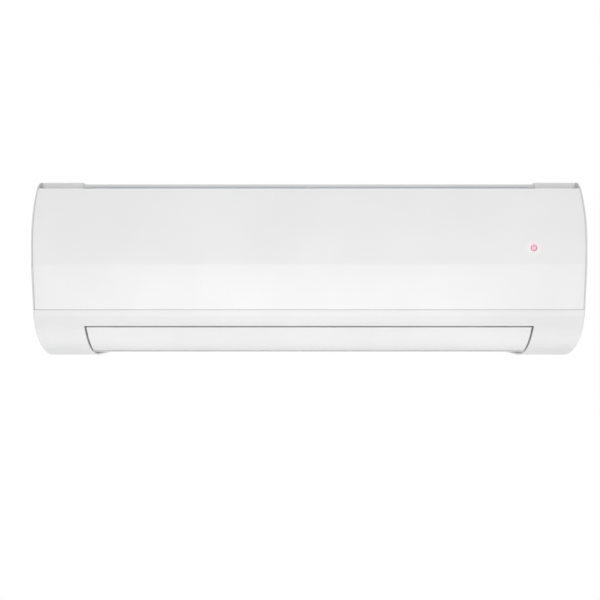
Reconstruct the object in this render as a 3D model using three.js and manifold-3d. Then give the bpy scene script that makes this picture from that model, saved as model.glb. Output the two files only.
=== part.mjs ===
// The wall-hung indoor unit of a split air conditioner, in millimetres with +Z up.
// The wall is the plane y = 0 and the front faces -Y. The origin is on the wall plate's back,
// at the middle of the unit's width and height. Most long pieces run along X, so their shapes
// are sections in the plane of y and z.

import * as THREE from 'three';
import { mergeVertices } from 'three/addons/utils/BufferGeometryUtils.js';
import Module from 'manifold-3d';

const wasm = await Module();
wasm.setup();

// ---------- driving dimensions ----------

// The whole unit
const unitWidth = 845;
const unitHeight = 275;
const unitDepth = 180;
const wallStandoff = 2; // the casing and the chassis stay this far off the wall

// The side profile, read downwards along the front
const topFlatDepth = 39; // the flat top starts this far behind the front
const panelTopDrop = 11.5; // the panel's top edge lies this far below the top
const browRadius = 175; // slow round from the panel's top edge down to its upright stretch
const uprightRise = 32.5; // upright stretch above the crease
const creaseDrop = 130; // the crease, below the top
const facetTilt = 6.5; // degrees that the face below the crease leans back
const panelBottomHeight = 76; // the panel's lower edge, above the bottom
const bellyRadius = 86; // round of the casing below the panel

// Fits
const fitGap = 0.5; // between pieces that are fixed together
const closeGap = 0.3; // between small pieces that are fixed together
const boreGap = 0.4; // round a shaft, a screw or a pipe
const moveGap = 1.2; // round pieces that move
const overlap = 1; // how far pieces of one moulding run into each other
const cutReach = 5; // how far a cutting shape runs past what it cuts
const farReach = 400; // further than any section reaches

// Front casing
const casingWall = 2.5;
const endWall = 3;
const endRound = 3; // round on the outer edge of each end
const cheekWidth = 76.5; // solid end beside the louvre
const cheekSideReach = 6; // the cheek's inner side ends this far behind the louvre's axis
const raisedEndWidth = 67.5; // end of the top beside the intake grille
const frameGap = 3.5; // between the panel's back and the frame behind it
const sillHeight = 12; // frame left standing under the filters
const liftSlotDrop = 8; // the frame stops this far below the panel's top edge
const beamDepth = 8;
const beamHeight = 7;
const beamDrop = 9; // the beam under the grille's front lip, below the top
const postHalf = 3; // half the width of the middle post
const postNeck = 8; // the post starts leaning back to the beam this far below its top
const guideWall = 2.2;
const guideLip = 1.2;
const guideHold = 6; // how far the lips reach over a filter's edge
const guideSink = 2; // the guides run this far below the filter's foot
const guideTopGap = 10; // the guides stop this far short of the filter's top
const frontLipFoot = 30; // the lips in front of the filter start this far up

// Front panel
const panelWall = 2.5;
const panelSideGap = 0.6;
const panelSeam = 0.8; // gap under the panel
const hingePinRadius = 2;
const hingePinRim = 1.6; // the arm's material round the pin
const hingeInset = 8; // the pin behind the panel's top edge
const hingeDrop = 3; // the pin below the panel's top edge
const hingeFromEnd = 50.5; // each hinge, from the unit's end
const armDrop = 14; // the hinge arm's foot, below the panel's top edge
const armFootWidth = 5;
const socketWall = 3;
const socketRim = 1.5; // material round the pin's hole
const socketTail = 18; // the socket's foot, below the pin
const notchRadius = 22; // room in the frame for the arm to turn
const notchDrop = 16;
const clipOffset = 250; // each snap clip, from the middle
const clipHeight = 6; // above the panel's lower edge
const clipWidth = 14;
const clipThickness = 3;
const clipHold = 2; // how far a clip reaches behind the frame's face
const clipRoom = 2; // free space round a clip

// Power indicator
const indicatorFromEnd = 82;
const indicatorRise = 24.5; // above the crease
const lensRadius = 7;
const lensRim = 2;
const lensFloor = 1.2;

// Louvre
const louvreTopHeight = 48; // above the bottom
const louvreBottomHeight = 9.5;
const louvreTopGap = 2.4;
const louvreWall = 5;
const louvreEndGap = 3;
const louvreAxisAngle = 233; // degrees round the belly's centre
const louvreAxisInset = 14; // the axis lies this far inside the casing's outline
const louvrePinRadius = 2;
const louvrePinReach = 8; // how far the end pins go into the cheeks
const louvreArmWall = 3;
const louvreArmRise = 9; // the arms leave the blade this far above the axis
const louvreArmFall = 5; // and this far below it
const louvrePinRim = 2; // the arms' material round the pin
const supportHalf = 2; // half the middle bracket's thickness
const supportRadius = 5;
const supportSeatShare = 0.75; // of the way along the tray's underside
const stepperRadius = 12.5;
const stepperLength = 18;
const stepperOffset = 8.5; // its shaft is this far off the can's middle

// Fan and its scroll
const fanRadius = 46;
const fanDepth = 96; // the axis, behind the front
const fanHeight = 123.5; // above the bottom
const fanEndGap = 9.5; // between the wheel and the duct's side walls
const bladeCount = 16;
const bladeWall = 1.8;
const bladeBand = 10; // depth of the ring of blades
const bladeSweepAngle = 13;
const ringCount = 5;
const ringWall = 2.5;
const hubRadius = 9;
const hubReach = 3; // how far the hub runs through the side wall
const hubClearance = 4; // round the hub where it runs through the side wall
const shaftRadius = 4;
const shaftEndGap = 1; // left between the shaft's end and the wheel
const scrollClearance = 6; // at the top of the scroll
const scrollGrowthRatio = 0.072; // the scroll widens by this share in each radian
const scrollTopAngle = 50; // degrees round the fan's axis, from the wall side upwards
const scrollEndAngle = -45;
const chassisWall = 2.5;
const sideWall = 3;
const sideInset = 1.5; // the duct's side walls stand this far inside the cheeks
const sideFront = 8; // the side walls end this far behind the louvre's axis
const sideKnee = 45; // the side wall's front edge turns this far below the fan's axis
const fanOpeningGap = 4.5; // between the wheel and the side wall's round edge
const lipClearance = 2.4; // between the louvre's sweep and the duct's lip
const lipStartAngle = -28;
const lipEndAngle = -60;
const chassisBackDepth = 6; // the back wall's front face, from the wall
const chassisBackGap = 3.5;
const gutterRise = 42.5; // the rear gutter's top, above the fan's axis
const gutterLipRise = 3;
const endFloorHeight = 9.5; // the floor under the motor, above the bottom
const endFloorReach = 110; // how far that floor reaches from the wall
const endFloorGap = 3; // between that floor and the duct's side wall

// Drain tray
const trayWall = 1.6;
const trayPlay = 3.4; // between the lower coil and the tray's walls, both sides together
const traySink = 7; // the tray's floor, below the coil's foot
const trayRimDrop = 3; // the front rim, below the filter's foot
const trayNose = 10; // the tray's front foot, below its floor
const trayMouthInset = 3.5; // the duct's upper edge, behind the casing's strip
const tongueGap = 5; // between the tray's tongue and the fan
const tongueAngle = 200;
const tongueWall = 2.4;
const tongueDepth = 14; // height of the tongue's root
const trayRise = 4; // the floor's round towards the tongue
const spoutRadius = 5.5;
const spoutBore = 3.8;
const spoutReach = 22;
const spoutPit = 7; // length of the pit where water runs into the spout

// Heat exchanger
const coilThickness = 20;
const coilEndGap = 6.5; // between the slabs and the duct's side walls
const tubeRadius = 3.5;
const tubePitch = 21;
const coilFilterGap = 3;
const lowerCoilFoot = 8; // below the filter's foot, along its plane
const lowerCoilHeight = 94;
const coilJointGap = 13.5; // between the lower and the upper slab's ends
const coilTopDrop = 28; // the slabs' meeting point, below the top
const coilApexGap = 3; // kept between the upper and the rear slab there
const coilApexShift = 2.3; // the meeting point, behind the middle of their feet
const rearCoilDrop = 6; // the rear slab's top, below the upper slab's
const rearCoilInset = 18; // the rear slab's foot, from the chassis
const rearCoilRise = 15; // and above the gutter

// Refrigerant pipes
const gasPipeRadius = 6;
const liquidPipeRadius = 3.2;
const gasPipeDepth = 15; // from the wall
const liquidPipeDepth = 29;
const gasPortShare = 0.77; // of the rear slab's height
const liquidPortShare = 0.3;
const pipeStub = 28; // straight out of the slab
const pipeFromEnd = 14; // the pipes' way down, from the unit's end
const pipeRound = 40; // room that the pipes' turns take
const pipeChannelHeight = 26; // above the bottom
const gasPipeEnd = 60; // the pipe's end, from the middle
const liquidPipeEnd = 105;
const gasNutRadius = 11;
const gasNutLength = 20;
const liquidNutRadius = 7;
const liquidNutLength = 16;
const nutInset = 30; // each nut's face, from its pipe's end
const pipeClampLength = 12;
const pipeClampHeight = 20;
const pipeClampFromEnd = 154;
const pipeClampWall = 3;

// Filters
const filterTilt = 5.4; // degrees from upright
const filterFootDepth = 9.14; // the filter's middle plane at its foot, behind the casing's face there
const filterWall = 2.6;
const filterTopDrop = 8.8; // the filter's top edge, below the unit's top
const filterEdgeGap = 1.5;
const filterFootGap = 1;
const filterPastIndicator = 1;
const filterRowCount = 4;
const filterColumnCount = 4;
const filterBar = 4;
const netWall = 0.8;

// Vanes
const vanesPerBank = 5;
const firstVane = 52; // from the middle
const lastVaneGap = 44.5; // from the last vane to the duct's side wall
const vaneWall = 1.6;
const vaneSeatShare = 0.6; // of the way down the duct's lower wall
const vaneHeight = 36;
const vaneHeel = 6.5; // the blade behind its pin
const vaneToe = 14; // and before it, at its foot
const vaneTopToe = 18;
const vaneTopHeel = 4;
const vaneLift = 1.6; // the blade's foot, above the duct's wall
const vanePinRadius = 2;
const vanePinDepth = 4.5;
const vaneFootRadius = 5;
const linkArm = 12;
const linkPinRadius = 1.4;
const linkPinTop = 9.5;
const linkLift = 5.6;
const linkWall = 2;
const linkHalf = 4.4;
const linkSlotHalf = 2.65;
const linkOverhang = 10;

// Electrics
const controlBoxWidth = 58;
const controlBoxDepth = 24;
const controlBoxFoot = 85.5; // above the bottom
const controlBoxDrop = 39.5; // below the top
const controlBoxSideGap = 4.5;
const controlBoxFront = 22; // behind the front
const boxWall = 2;
const boardWall = 1.6;
const boardStandoff = 4;
const terminalCount = 5;
const terminalPitch = 8;
const terminalHeight = 12;
const terminalDepth = 13;
const terminalWellHalf = 2.6;
const terminalWellDepth = 6;
const capacitorRadius = 10;
const capacitorDepth = 16;
const capacitorRise = 95; // above the box's foot
const relayWidth = 15;
const relayHeight = 20;
const relayRise = 60;
const switchHalf = 3.5;
const switchInset = 6; // the switch's face, inside the box
const buttonFromEnd = 36.5;
const buttonHeight = 107.5;
const buttonRadius = 4;
const buttonStem = 2;
const buttonProud = 1.4; // how far the button stands out of the frame
const buttonHead = 4;
const buttonTravel = 1.5;
const displayWidth = 40;
const displayHeight = 38;
const displayDepth = 10;
const displayFront = 6; // behind the front
const displayWall = 1.6;
const displayShift = 2; // the housing's middle, right of the indicator
const displayEar = 12;
const lightRadius = 3.5;
const lightDepth = 3;
const receiverWidth = 7;
const receiverHeight = 8;
const receiverDepth = 4;
const motorRadius = 36;
const motorLength = 44;
const motorFromCheek = 8;
const motorNoseRadius = 14;
const motorNose = 3;
const motorTailRadius = 10;
const motorShaftInset = 14; // how far the shaft goes into the motor
const bedWall = 3;
const bedFrontInset = 6; // the bed's ends, inside the motor's
const bedRearInset = 3;
const lugHalf = 5;
const lugGap = 7.5; // from the motor's seat to a lug's middle
const clampFrontInset = 12;
const clampRearInset = 8;
const bushOuter = 11;
const bushWall = 4;
const bearingLength = 5.5;

// Screws
const screwRadius = 2;
const screwHead = 4;
const screwHeadHeight = 2.4;
const screwSink = 5; // depth of the casing's screw pockets
const bossDepth = 8.5;
const casingScrewFromEnd = 38.5;
const casingScrewDepth = 60; // from the wall
const casingScrewLength = 13;
const clampScrewLength = 12;
const capHeight = 1.6;
const capLift = 0.1; // the cap lies this far inside the underside

// Intake grille
const grilleWall = 3;
const grilleDrop = 2.5; // the grille lies this far below the raised ends
const grilleRowCount = 7;
const grilleColumnCount = 10;
const grilleBar = 4;
const grilleRim = 8;

// Wall plate
const plateFromEnd = 122.5;
const plateHeight = 200;
const plateWall = 1.6;
const plateHoleRadius = 2.6;
const plateHoleInset = 40; // from the plate's ends
const plateHoleEdge = 20; // from its upper and lower edges
const plateWindowOffset = 105;
const plateWindowHalf = 55;
const plateWindowFoot = 60;
const plateWindowTop = 5;
const hookOffset = 150;
const hookWidth = 30;
const hookZ = 60;
const hookWall = 2;
const hookRise = 9;
const hookRoom = 2;

// ---------- places worked out from them ----------

const halfWidth = unitWidth / 2;
const topZ = unitHeight / 2;
const bottomZ = -unitHeight / 2;
const frontY = -unitDepth;
const backY = -wallStandoff;
const insideHalf = halfWidth - endWall;
const cheekInner = halfWidth - cheekWidth;
const sideFace = cheekInner - sideInset;
const raisedInner = halfWidth - raisedEndWidth;
const creaseZ = topZ - creaseDrop;
const panelTopZ = topZ - panelTopDrop;
const panelBottomZ = bottomZ + panelBottomHeight;
const indicatorX = halfWidth - indicatorFromEnd;
const hingeOffset = halfWidth - hingeFromEnd;
const fanHalf = sideFace - fanEndGap;
const coilHalf = sideFace - coilEndGap;
const vanePitch = (sideFace - lastVaneGap - firstVane) / (vanesPerBank - 1);
const fanAxis = new THREE.Vector2(frontY + fanDepth, bottomZ + fanHeight);

const radians = THREE.MathUtils.degToRad;
const point = (y, z) => new THREE.Vector2(y, z);
const polar = (centre, radius, angle) => point(
  centre.x + radius * Math.cos(radians(angle)),
  centre.y + radius * Math.sin(radians(angle)),
);

// ---------- solids ----------

const weldDistance = 1e-4;

// A closed geometry as a solid that can be joined and cut.
function toSolid(geometry) {
  const bare = new THREE.BufferGeometry();
  bare.setAttribute('position', geometry.getAttribute('position'));
  bare.setIndex(geometry.index);
  const merged = mergeVertices(bare, weldDistance);
  return new wasm.Manifold(new wasm.Mesh({
    numProp: 3,
    vertProperties: new Float32Array(merged.getAttribute('position').array),
    triVerts: new Uint32Array(merged.index.array),
  }));
}

function toGeometry(solid) {
  const mesh = solid.getMesh();
  const geometry = new THREE.BufferGeometry();
  geometry.setAttribute('position', new THREE.BufferAttribute(mesh.vertProperties, 3));
  geometry.setIndex(new THREE.BufferAttribute(mesh.triVerts, 1));
  geometry.computeVertexNormals();
  return geometry;
}

const grown = ([low, high], by) => [low - by, high + by];
const about = (middle, half) => [middle - half, middle + half];
const bothSides = [-1, 1];
const joined = (solids) => solids.reduce((whole, solid) => whole.add(solid));
const mirrored = (solid) => solid.add(solid.mirror([1, 0, 0]));
const without = (solid, cutters) => cutters.reduce((rest, cutter) => rest.subtract(cutter), solid);

// Turns a shape drawn in (y, z) and extruded along its own z so that it runs along X.
const sectionToPart = new THREE.Matrix4().makeBasis(
  new THREE.Vector3(0, 1, 0),
  new THREE.Vector3(0, 0, 1),
  new THREE.Vector3(1, 0, 0),
);

function slab(outline, xLow, xHigh) {
  const shape = new THREE.Shape(outline);
  const geometry = new THREE.ExtrudeGeometry(shape, { depth: xHigh - xLow, bevelEnabled: false });
  return toSolid(geometry.applyMatrix4(sectionToPart).translate(xLow, 0, 0));
}

// A box from its ranges in x, y and z.
function block([xLow, xHigh], [yLow, yHigh], [zLow, zHigh]) {
  const geometry = new THREE.BoxGeometry(xHigh - xLow, yHigh - yLow, zHigh - zLow);
  geometry.translate((xLow + xHigh) / 2, (yLow + yHigh) / 2, (zLow + zHigh) / 2);
  return toSolid(geometry);
}

function rod(radius, [xLow, xHigh], centre, sides = 20) {
  const geometry = new THREE.CylinderGeometry(radius, radius, xHigh - xLow, sides);
  geometry.rotateZ(Math.PI / 2).translate((xLow + xHigh) / 2, centre.x, centre.y);
  return toSolid(geometry);
}

// A cylinder along Y, such as a button or a lens.
function plug(radius, x, [yLow, yHigh], z, sides = 16) {
  const geometry = new THREE.CylinderGeometry(radius, radius, yHigh - yLow, sides);
  return toSolid(geometry.translate(x, (yLow + yHigh) / 2, z));
}

// A cylinder along Z, such as a screw hole.
function post(radius, x, y, [zLow, zHigh], sides = 12) {
  const geometry = new THREE.CylinderGeometry(radius, radius, zHigh - zLow, sides);
  return toSolid(geometry.rotateX(Math.PI / 2).translate(x, y, (zLow + zHigh) / 2));
}

// ---------- outlines ----------

function arc(centre, radius, from, to, steps) {
  return Array.from({ length: steps + 1 }, (_, i) => (
    polar(centre, radius, from + ((to - from) * i) / steps)
  ));
}

// A closed outline, given anticlockwise, moved inwards edge by edge.
function inset(outline, distance) {
  return outline.map((corner, i) => {
    const before = outline.at(i - 1);
    const after = outline[(i + 1) % outline.length];
    const arriving = corner.clone().sub(before).normalize();
    const leaving = after.clone().sub(corner).normalize();
    const normal = point(-arriving.y, arriving.x);
    const bisector = point(-leaving.y, leaving.x).add(normal).normalize();
    return corner.clone().addScaledVector(bisector, distance / bisector.dot(normal));
  });
}

const facetDepth = (creaseZ - panelBottomZ) * Math.tan(radians(facetTilt));
const facetEnd = point(frontY + facetDepth, panelBottomZ);
const bellyRise = bottomZ + bellyRadius - panelBottomZ;
const bellyCentre = point(
  facetEnd.x + Math.sqrt(bellyRadius ** 2 - bellyRise ** 2),
  bottomZ + bellyRadius,
);
const browCentre = point(frontY + browRadius, creaseZ + uprightRise);
const browAngle = 180 - THREE.MathUtils.radToDeg(
  Math.asin((panelTopZ - browCentre.y) / browRadius),
);
const panelTop = polar(browCentre, browRadius, browAngle);

// The whole side profile, anticlockwise from the flat top's front edge.
function sideOutline() {
  const topFront = point(frontY + topFlatDepth, topZ);
  const lean = Math.tan(radians(180 - browAngle));
  const control = point(panelTop.x + lean * panelTopDrop, topZ);
  const shoulder = new THREE.QuadraticBezierCurve(topFront, control, panelTop).getPoints(4);
  const brow = arc(browCentre, browRadius, browAngle, 180, 8).slice(1);
  const bellyStart = 180 + THREE.MathUtils.radToDeg(Math.asin(bellyRise / bellyRadius));
  const belly = arc(bellyCentre, bellyRadius, bellyStart, 270, 12);
  return [
    ...shoulder,
    ...brow,
    point(frontY, creaseZ),
    ...belly,
    point(backY, bottomZ),
    point(backY, topZ),
  ];
}

const outline = sideOutline();

// The front's layer between two depths inside the outline, over a range of x and z.
function skin(depth, wall, [xLow, xHigh], [zLow, zHigh], back = fanAxis.x) {
  const layer = slab(inset(outline, depth), xLow, xHigh)
    .subtract(slab(inset(outline, depth + wall), xLow - cutReach, xHigh + cutReach));
  return layer.intersect(block([xLow, xHigh], [-farReach, back], [zLow, zHigh]));
}

// The filters' plane, from its foot upwards.
const filterFoot = point(facetEnd.x + filterFootDepth, panelBottomZ + sillHeight);
const filterUp = polar(point(0, 0), 1, 90 - filterTilt);
const filterBack = point(filterUp.y, -filterUp.x);

// A point on the filters' plane, or off it towards the back.
function onFilter(rise, behind = 0) {
  return filterFoot.clone().addScaledVector(filterUp, rise).addScaledVector(filterBack, behind);
}

const hingeAxis = point(panelTop.x + hingeInset, panelTopZ - hingeDrop);
const louvreAxis = polar(bellyCentre, bellyRadius - louvreAxisInset, louvreAxisAngle);
const louvreTopZ = bottomZ + louvreTopHeight;
const louvreBottomZ = bottomZ + louvreBottomHeight;
const louvreHalf = cheekInner - louvreEndGap;

// Where the outline's belly has a given height.
function onBelly(z, depth = 0) {
  const radius = bellyRadius - depth;
  return point(bellyCentre.x - Math.sqrt(radius ** 2 - (bellyCentre.y - z) ** 2), z);
}

// The belly's angle, round its centre, at a given height of the outline.
function onBellyAngle(z) {
  return 180 + THREE.MathUtils.radToDeg(Math.asin((bellyCentre.y - z) / bellyRadius));
}

// ---------- the assembly ----------

const unit = new THREE.Group();
const looks = {
  shell: [0xebebed, 0.42, 0],
  panel: [0xe9e9eb, 0.3, 0],
  innerPlastic: [0xd9dbde, 0.6, 0],
  darkPlastic: [0x3a3d42, 0.6, 0],
  fan: [0x2f3236, 0.5, 0],
  filter: [0xa9b4be, 0.8, 0],
  zinc: [0xb9bec3, 0.45, 0.8],
  aluminium: [0xc6cacf, 0.4, 0.9],
  copper: [0xb87348, 0.35, 0.9],
  brass: [0xc0a257, 0.35, 0.9],
  board: [0x2f6b45, 0.6, 0],
  lens: [0xf3d5dc, 0.3, 0],
  rubber: [0x26282a, 0.9, 0],
};

function piece(name, shape, look, { position = [0, 0, 0], rotation = [0, 0, 0], into = unit } = {}) {
  const [color, roughness, metalness] = looks[look];
  const geometry = shape.isBufferGeometry ? shape : toGeometry(shape);
  const material = new THREE.MeshStandardMaterial({ color, roughness, metalness });
  const mesh = new THREE.Mesh(geometry, material);
  mesh.name = name;
  mesh.position.set(...position);
  mesh.rotation.set(...rotation);
  into.add(mesh);
}
// ---------- front casing ----------

const seamZ = panelBottomZ - panelSeam;
const frameDepth = panelWall + frameGap;
const frameBackDepth = frameDepth + casingWall;
const hingeHoleRadius = hingePinRadius + fitGap;
const filterOuter = indicatorX + filterPastIndicator;
const guideX = filterOuter + filterEdgeGap;
const filterLength = (topZ - filterTopDrop - filterFoot.y - filterFootGap) / filterUp.y;
const guideTop = filterLength - guideTopGap; // along the filters' plane
const chassisBack = [-chassisBackDepth, -chassisBackGap];
const lensZ = creaseZ + indicatorRise;
const displayX = about(indicatorX + displayShift, displayWidth / 2);
const displayZ = about(lensZ + overlap, displayHeight / 2);
const displayY = [frontY + displayFront, frontY + displayFront + displayDepth];
const buttonX = halfWidth - buttonFromEnd;
const buttonZ = bottomZ + buttonHeight;
const casingScrewX = halfWidth - casingScrewFromEnd;
const casingScrewY = -casingScrewDepth;

// One end plate with a rounded outer edge, its face at x = halfWidth.
function endPlate() {
  const geometry = new THREE.ExtrudeGeometry(new THREE.Shape(outline), {
    depth: endRound,
    bevelEnabled: true,
    bevelThickness: endRound,
    bevelSize: endRound,
    bevelOffset: -endRound,
    bevelSegments: 3,
  });
  geometry.applyMatrix4(sectionToPart).translate(halfWidth - 2 * endRound, 0, 0);
  const outside = [insideHalf, halfWidth + cutReach];
  const all = [-farReach, farReach];
  return toSolid(geometry).intersect(block(outside, all, all));
}

// A plate across the unit that carries the filters' guide back from the frame.
function guidePlate(xLow, xHigh) {
  const behind = filterWall / 2 + guideLip + fitGap;
  const front = slab(inset(outline, frameDepth + casingWall / 2), xLow, xHigh);
  const ahead = [
    onFilter(-guideSink, behind),
    onFilter(guideTop, behind),
    onFilter(guideTop, -farReach),
    onFilter(-guideSink, -farReach),
  ];
  return front.intersect(slab(ahead, xLow, xHigh));
}

// The two lips that hold one edge of a filter, before and behind it.
function guideLips(xLow, xHigh) {
  const start = filterWall / 2 + fitGap;
  const strip = (near, far, foot) => slab([
    onFilter(foot, near),
    onFilter(foot, far),
    onFilter(guideTop, far),
    onFilter(guideTop, near),
  ], xLow, xHigh);
  return strip(start, start + guideLip, 0).add(strip(-start - guideLip, -start, frontLipFoot));
}

// The raised end of the top, with its front face and the wall beside the grille.
function raisedEnd() {
  const topFront = frontY + topFlatDepth;
  const across = [raisedInner, insideHalf + overlap];
  const low = topZ - beamDrop - beamHeight;
  return joined([
    block(across, [topFront, backY], [topZ - casingWall, topZ]),
    block(across, [topFront, topFront + casingWall], [low, topZ]),
    block([raisedInner, raisedInner + casingWall], [topFront, chassisBack[0] - fitGap], [low, topZ]),
  ]);
}

// The inner side of the cheek, beside the louvre.
function cheekSide() {
  return slab(inset(outline, casingWall / 2), cheekInner, cheekInner + casingWall)
    .intersect(block(
      [0, halfWidth],
      [-farReach, louvreAxis.x + cheekSideReach],
      [bottomZ, louvreTopZ + casingWall],
    ));
}

// The ear on the frame that holds a hinge pin of the panel.
function hingeSocket() {
  const root = point(hingeAxis.x - 2 * socketWall, hingeAxis.y - socketTail);
  const round = arc(hingeAxis, hingeHoleRadius + socketRim, -40, 150, 8);
  return slab([root, ...round], hingeOffset - 2 * socketWall, hingeOffset - socketWall);
}

// The middle post's head, which leans back to the beam under the grille.
function postHead(beamY, beamZ) {
  return slab([
    onFilter(guideTop - postNeck, -filterWall),
    onFilter(guideTop - postNeck, filterWall),
    point(beamY + overlap, beamZ - beamHeight),
    point(beamY + overlap, beamZ - overlap),
    onFilter(guideTop, -filterWall),
  ], -postHalf, postHalf);
}

function frontCasing() {
  const full = [-insideHalf - overlap, insideHalf + overlap];
  const forward = [-farReach, 0];
  const ledge = skin(0, frameBackDepth, full, [seamZ - casingWall, seamZ]);
  const belly = skin(0, casingWall, full, [bottomZ - overlap, seamZ], chassisBack[0] - fitGap);
  const frame = skin(frameDepth, casingWall, full, [seamZ - casingWall, hingeAxis.y + socketWall]);
  const outlet = block(
    [-cheekInner, cheekInner],
    [-farReach, farReach],
    [-farReach, louvreTopZ + louvreTopGap],
  );
  const windowCut = block([postHalf + guideHold, guideX], forward, [filterFoot.y, topZ]);
  const liftSlot = block([-guideX, guideX], forward, [panelTopZ - liftSlotDrop, topZ]);
  const armNotch = block(
    [hingeOffset - socketWall, hingeOffset + socketWall + moveGap],
    forward,
    [hingeAxis.y - notchDrop, topZ - casingWall],
  ).intersect(slab(arc(hingeAxis, notchRadius, 60, 300, 10), 0, halfWidth));

  const beamY = frontY + topFlatDepth + casingWall + fitGap;
  const beamZ = topZ - beamDrop;
  const beam = block(
    [-raisedInner - overlap, raisedInner + overlap],
    [beamY, beamY + beamDepth],
    [beamZ - beamHeight, beamZ],
  );
  const middlePost = joined([
    guidePlate(-postHalf, postHalf),
    guideLips(-postHalf - guideHold, postHalf + guideHold),
    postHead(beamY, beamZ),
  ]);
  const half = joined([
    endPlate(),
    raisedEnd(),
    cheekSide(),
    hingeSocket(),
    post(2 * screwHead, casingScrewX, casingScrewY, [bottomZ + overlap, bottomZ + bossDepth]),
    guidePlate(guideX, guideX + guideWall),
    guideLips(filterOuter - guideHold, guideX + overlap),
  ]);
  const shell = joined([
    belly.subtract(outlet),
    ledge,
    without(frame, [mirrored(windowCut), liftSlot, mirrored(armNotch)]),
    mirrored(half),
    middlePost,
    beam,
  ]);

  const displayNotch = block(
    grown(displayX, moveGap),
    [displayY[0] - cutReach, displayY[1] + moveGap],
    grown(displayZ, moveGap),
  );
  const throughFrame = [frontY, frontY + 4 * cutReach];
  const clipSlots = bothSides.map((side) => block(
    about(side * clipOffset, clipWidth / 2 + clipRoom),
    throughFrame,
    about(panelBottomZ + clipHeight, clipThickness / 2 + clipRoom),
  ));
  const cheekMiddle = halfWidth - cheekWidth / 2;
  const hingeHole = rod(hingeHoleRadius, [hingeOffset - 4 * cutReach, hingeOffset], hingeAxis);
  const pocketTop = bottomZ + screwSink;
  const screwPocket = post(screwHead + overlap, casingScrewX, casingScrewY, [-farReach, pocketTop]);
  const screwHole = post(screwRadius + boreGap, casingScrewX, casingScrewY, [bottomZ, topZ / 2]);
  return without(shell, [
    displayNotch,
    plug(buttonRadius + fitGap, buttonX, throughFrame, buttonZ),
    ...clipSlots,
    rod(louvrePinRadius + fitGap, [-cheekMiddle, cheekMiddle], louvreAxis),
    mirrored(hingeHole),
    mirrored(screwPocket),
    mirrored(screwHole),
  ]);
}

// ---------- front panel ----------

const panelHalf = insideHalf - panelSideGap;

// The outer face's y on the facet under the crease, at a height above the panel's lower edge.
function onFacet(rise) {
  return facetEnd.x - rise * Math.tan(radians(facetTilt));
}

function frontPanel() {
  const cover = skin(0, panelWall, [-panelHalf, panelHalf], [panelBottomZ, panelTopZ]);
  const clipY = onFacet(clipHeight);
  const clips = bothSides.map((side) => block(
    about(side * clipOffset, clipWidth / 2),
    [clipY + overlap, clipY + frameDepth + clipHold],
    about(panelBottomZ + clipHeight, clipThickness / 2),
  ));
  const hole = [frontY - cutReach, frontY + 4 * cutReach];
  const lensHole = plug(lensRadius + closeGap, indicatorX, hole, lensZ);
  return joined([cover, ...clips]).subtract(lensHole);
}

// The right arm, with its pin, fixed behind the panel's top edge.
function hingeArm() {
  const armFoot = point(panelTop.x + overlap, panelTopZ - armDrop);
  const arm = slab([
    point(panelTop.x + panelWall / 2, panelTopZ - panelWall / 2),
    point(armFoot.x - armFootWidth, armFoot.y),
    armFoot,
    ...arc(hingeAxis, hingePinRadius + hingePinRim, -80, 110, 8),
  ], hingeOffset - socketWall + moveGap, hingeOffset + socketWall);
  const pinX = [hingeOffset - 2 * socketWall - overlap, hingeOffset];
  const panelRoom = skin(0, panelWall + fitGap, [-panelHalf, panelHalf], [panelBottomZ, panelTopZ]);
  return arm.subtract(panelRoom).add(rod(hingePinRadius, pinX, hingeAxis, 16));
}

function indicatorLens() {
  const dish = [frontY + lensFloor, frontY + cutReach];
  return plug(lensRadius, indicatorX, [frontY, frontY + panelWall], lensZ)
    .subtract(plug(lensRadius - lensRim, indicatorX, dish, lensZ));
}

// ---------- intake grille ----------

function intakeGrille() {
  const half = raisedInner - fitGap;
  const front = frontY + topFlatDepth;
  const top = topZ - grilleDrop;
  const plate = block([-half, half], [front, backY], [top - grilleWall, top]);
  const lip = block([-half, half], [front, front + casingWall], [topZ - beamDrop + fitGap, top]);
  const columnPitch = (2 * half - 2 * grilleRim + grilleBar) / grilleColumnCount;
  const rowPitch = (backY - front - 2 * grilleRim + grilleBar) / grilleRowCount;
  const through = about(top, 2 * cutReach);
  const slots = [];
  for (let column = 0; column < grilleColumnCount; column += 1) {
    for (let row = 0; row < grilleRowCount; row += 1) {
      const x = -half + grilleRim + column * columnPitch;
      const y = front + grilleRim + row * rowPitch;
      const across = [x, x + columnPitch - grilleBar];
      slots.push(block(across, [y, y + rowPitch - grilleBar], through));
    }
  }
  return without(plate.add(lip), slots);
}

// ---------- chassis ----------

const scrollRadius = (angle) => (
  (fanRadius + scrollClearance) * Math.exp(scrollGrowthRatio * radians(scrollTopAngle - angle))
);

function scrollArc(extra, steps = 14) {
  return Array.from({ length: steps + 1 }, (_, i) => {
    const angle = scrollTopAngle + ((scrollEndAngle - scrollTopAngle) * i) / steps;
    return polar(fanAxis, scrollRadius(angle) + extra, angle);
  });
}

const louvreSweep = louvreAxis.distanceTo(onBelly(louvreBottomZ));
const lipRadius = louvreSweep + lipClearance;
const ductStart = polar(fanAxis, scrollRadius(scrollEndAngle), scrollEndAngle);
const ductEnd = polar(louvreAxis, lipRadius, lipStartAngle);
const ductAlong = ductEnd.clone().sub(ductStart).normalize();
const ductNormal = point(ductAlong.y, -ductAlong.x);

const gutterZ = fanAxis.y + gutterRise;
const chassisHalf = insideHalf - 2 * moveGap;
const endFloorZ = [bottomZ + endFloorHeight, bottomZ + endFloorHeight + chassisWall];
const motorX = [cheekInner + motorFromCheek, cheekInner + motorFromCheek + motorLength];
const bedInner = motorRadius + fitGap;
const lugY = (way) => fanAxis.x + way * (bedInner + lugGap);
const clampX = [motorX[0] + clampFrontInset, motorX[1] - clampRearInset];
const clampScrewX = (clampX[0] + clampX[1]) / 2;

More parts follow.
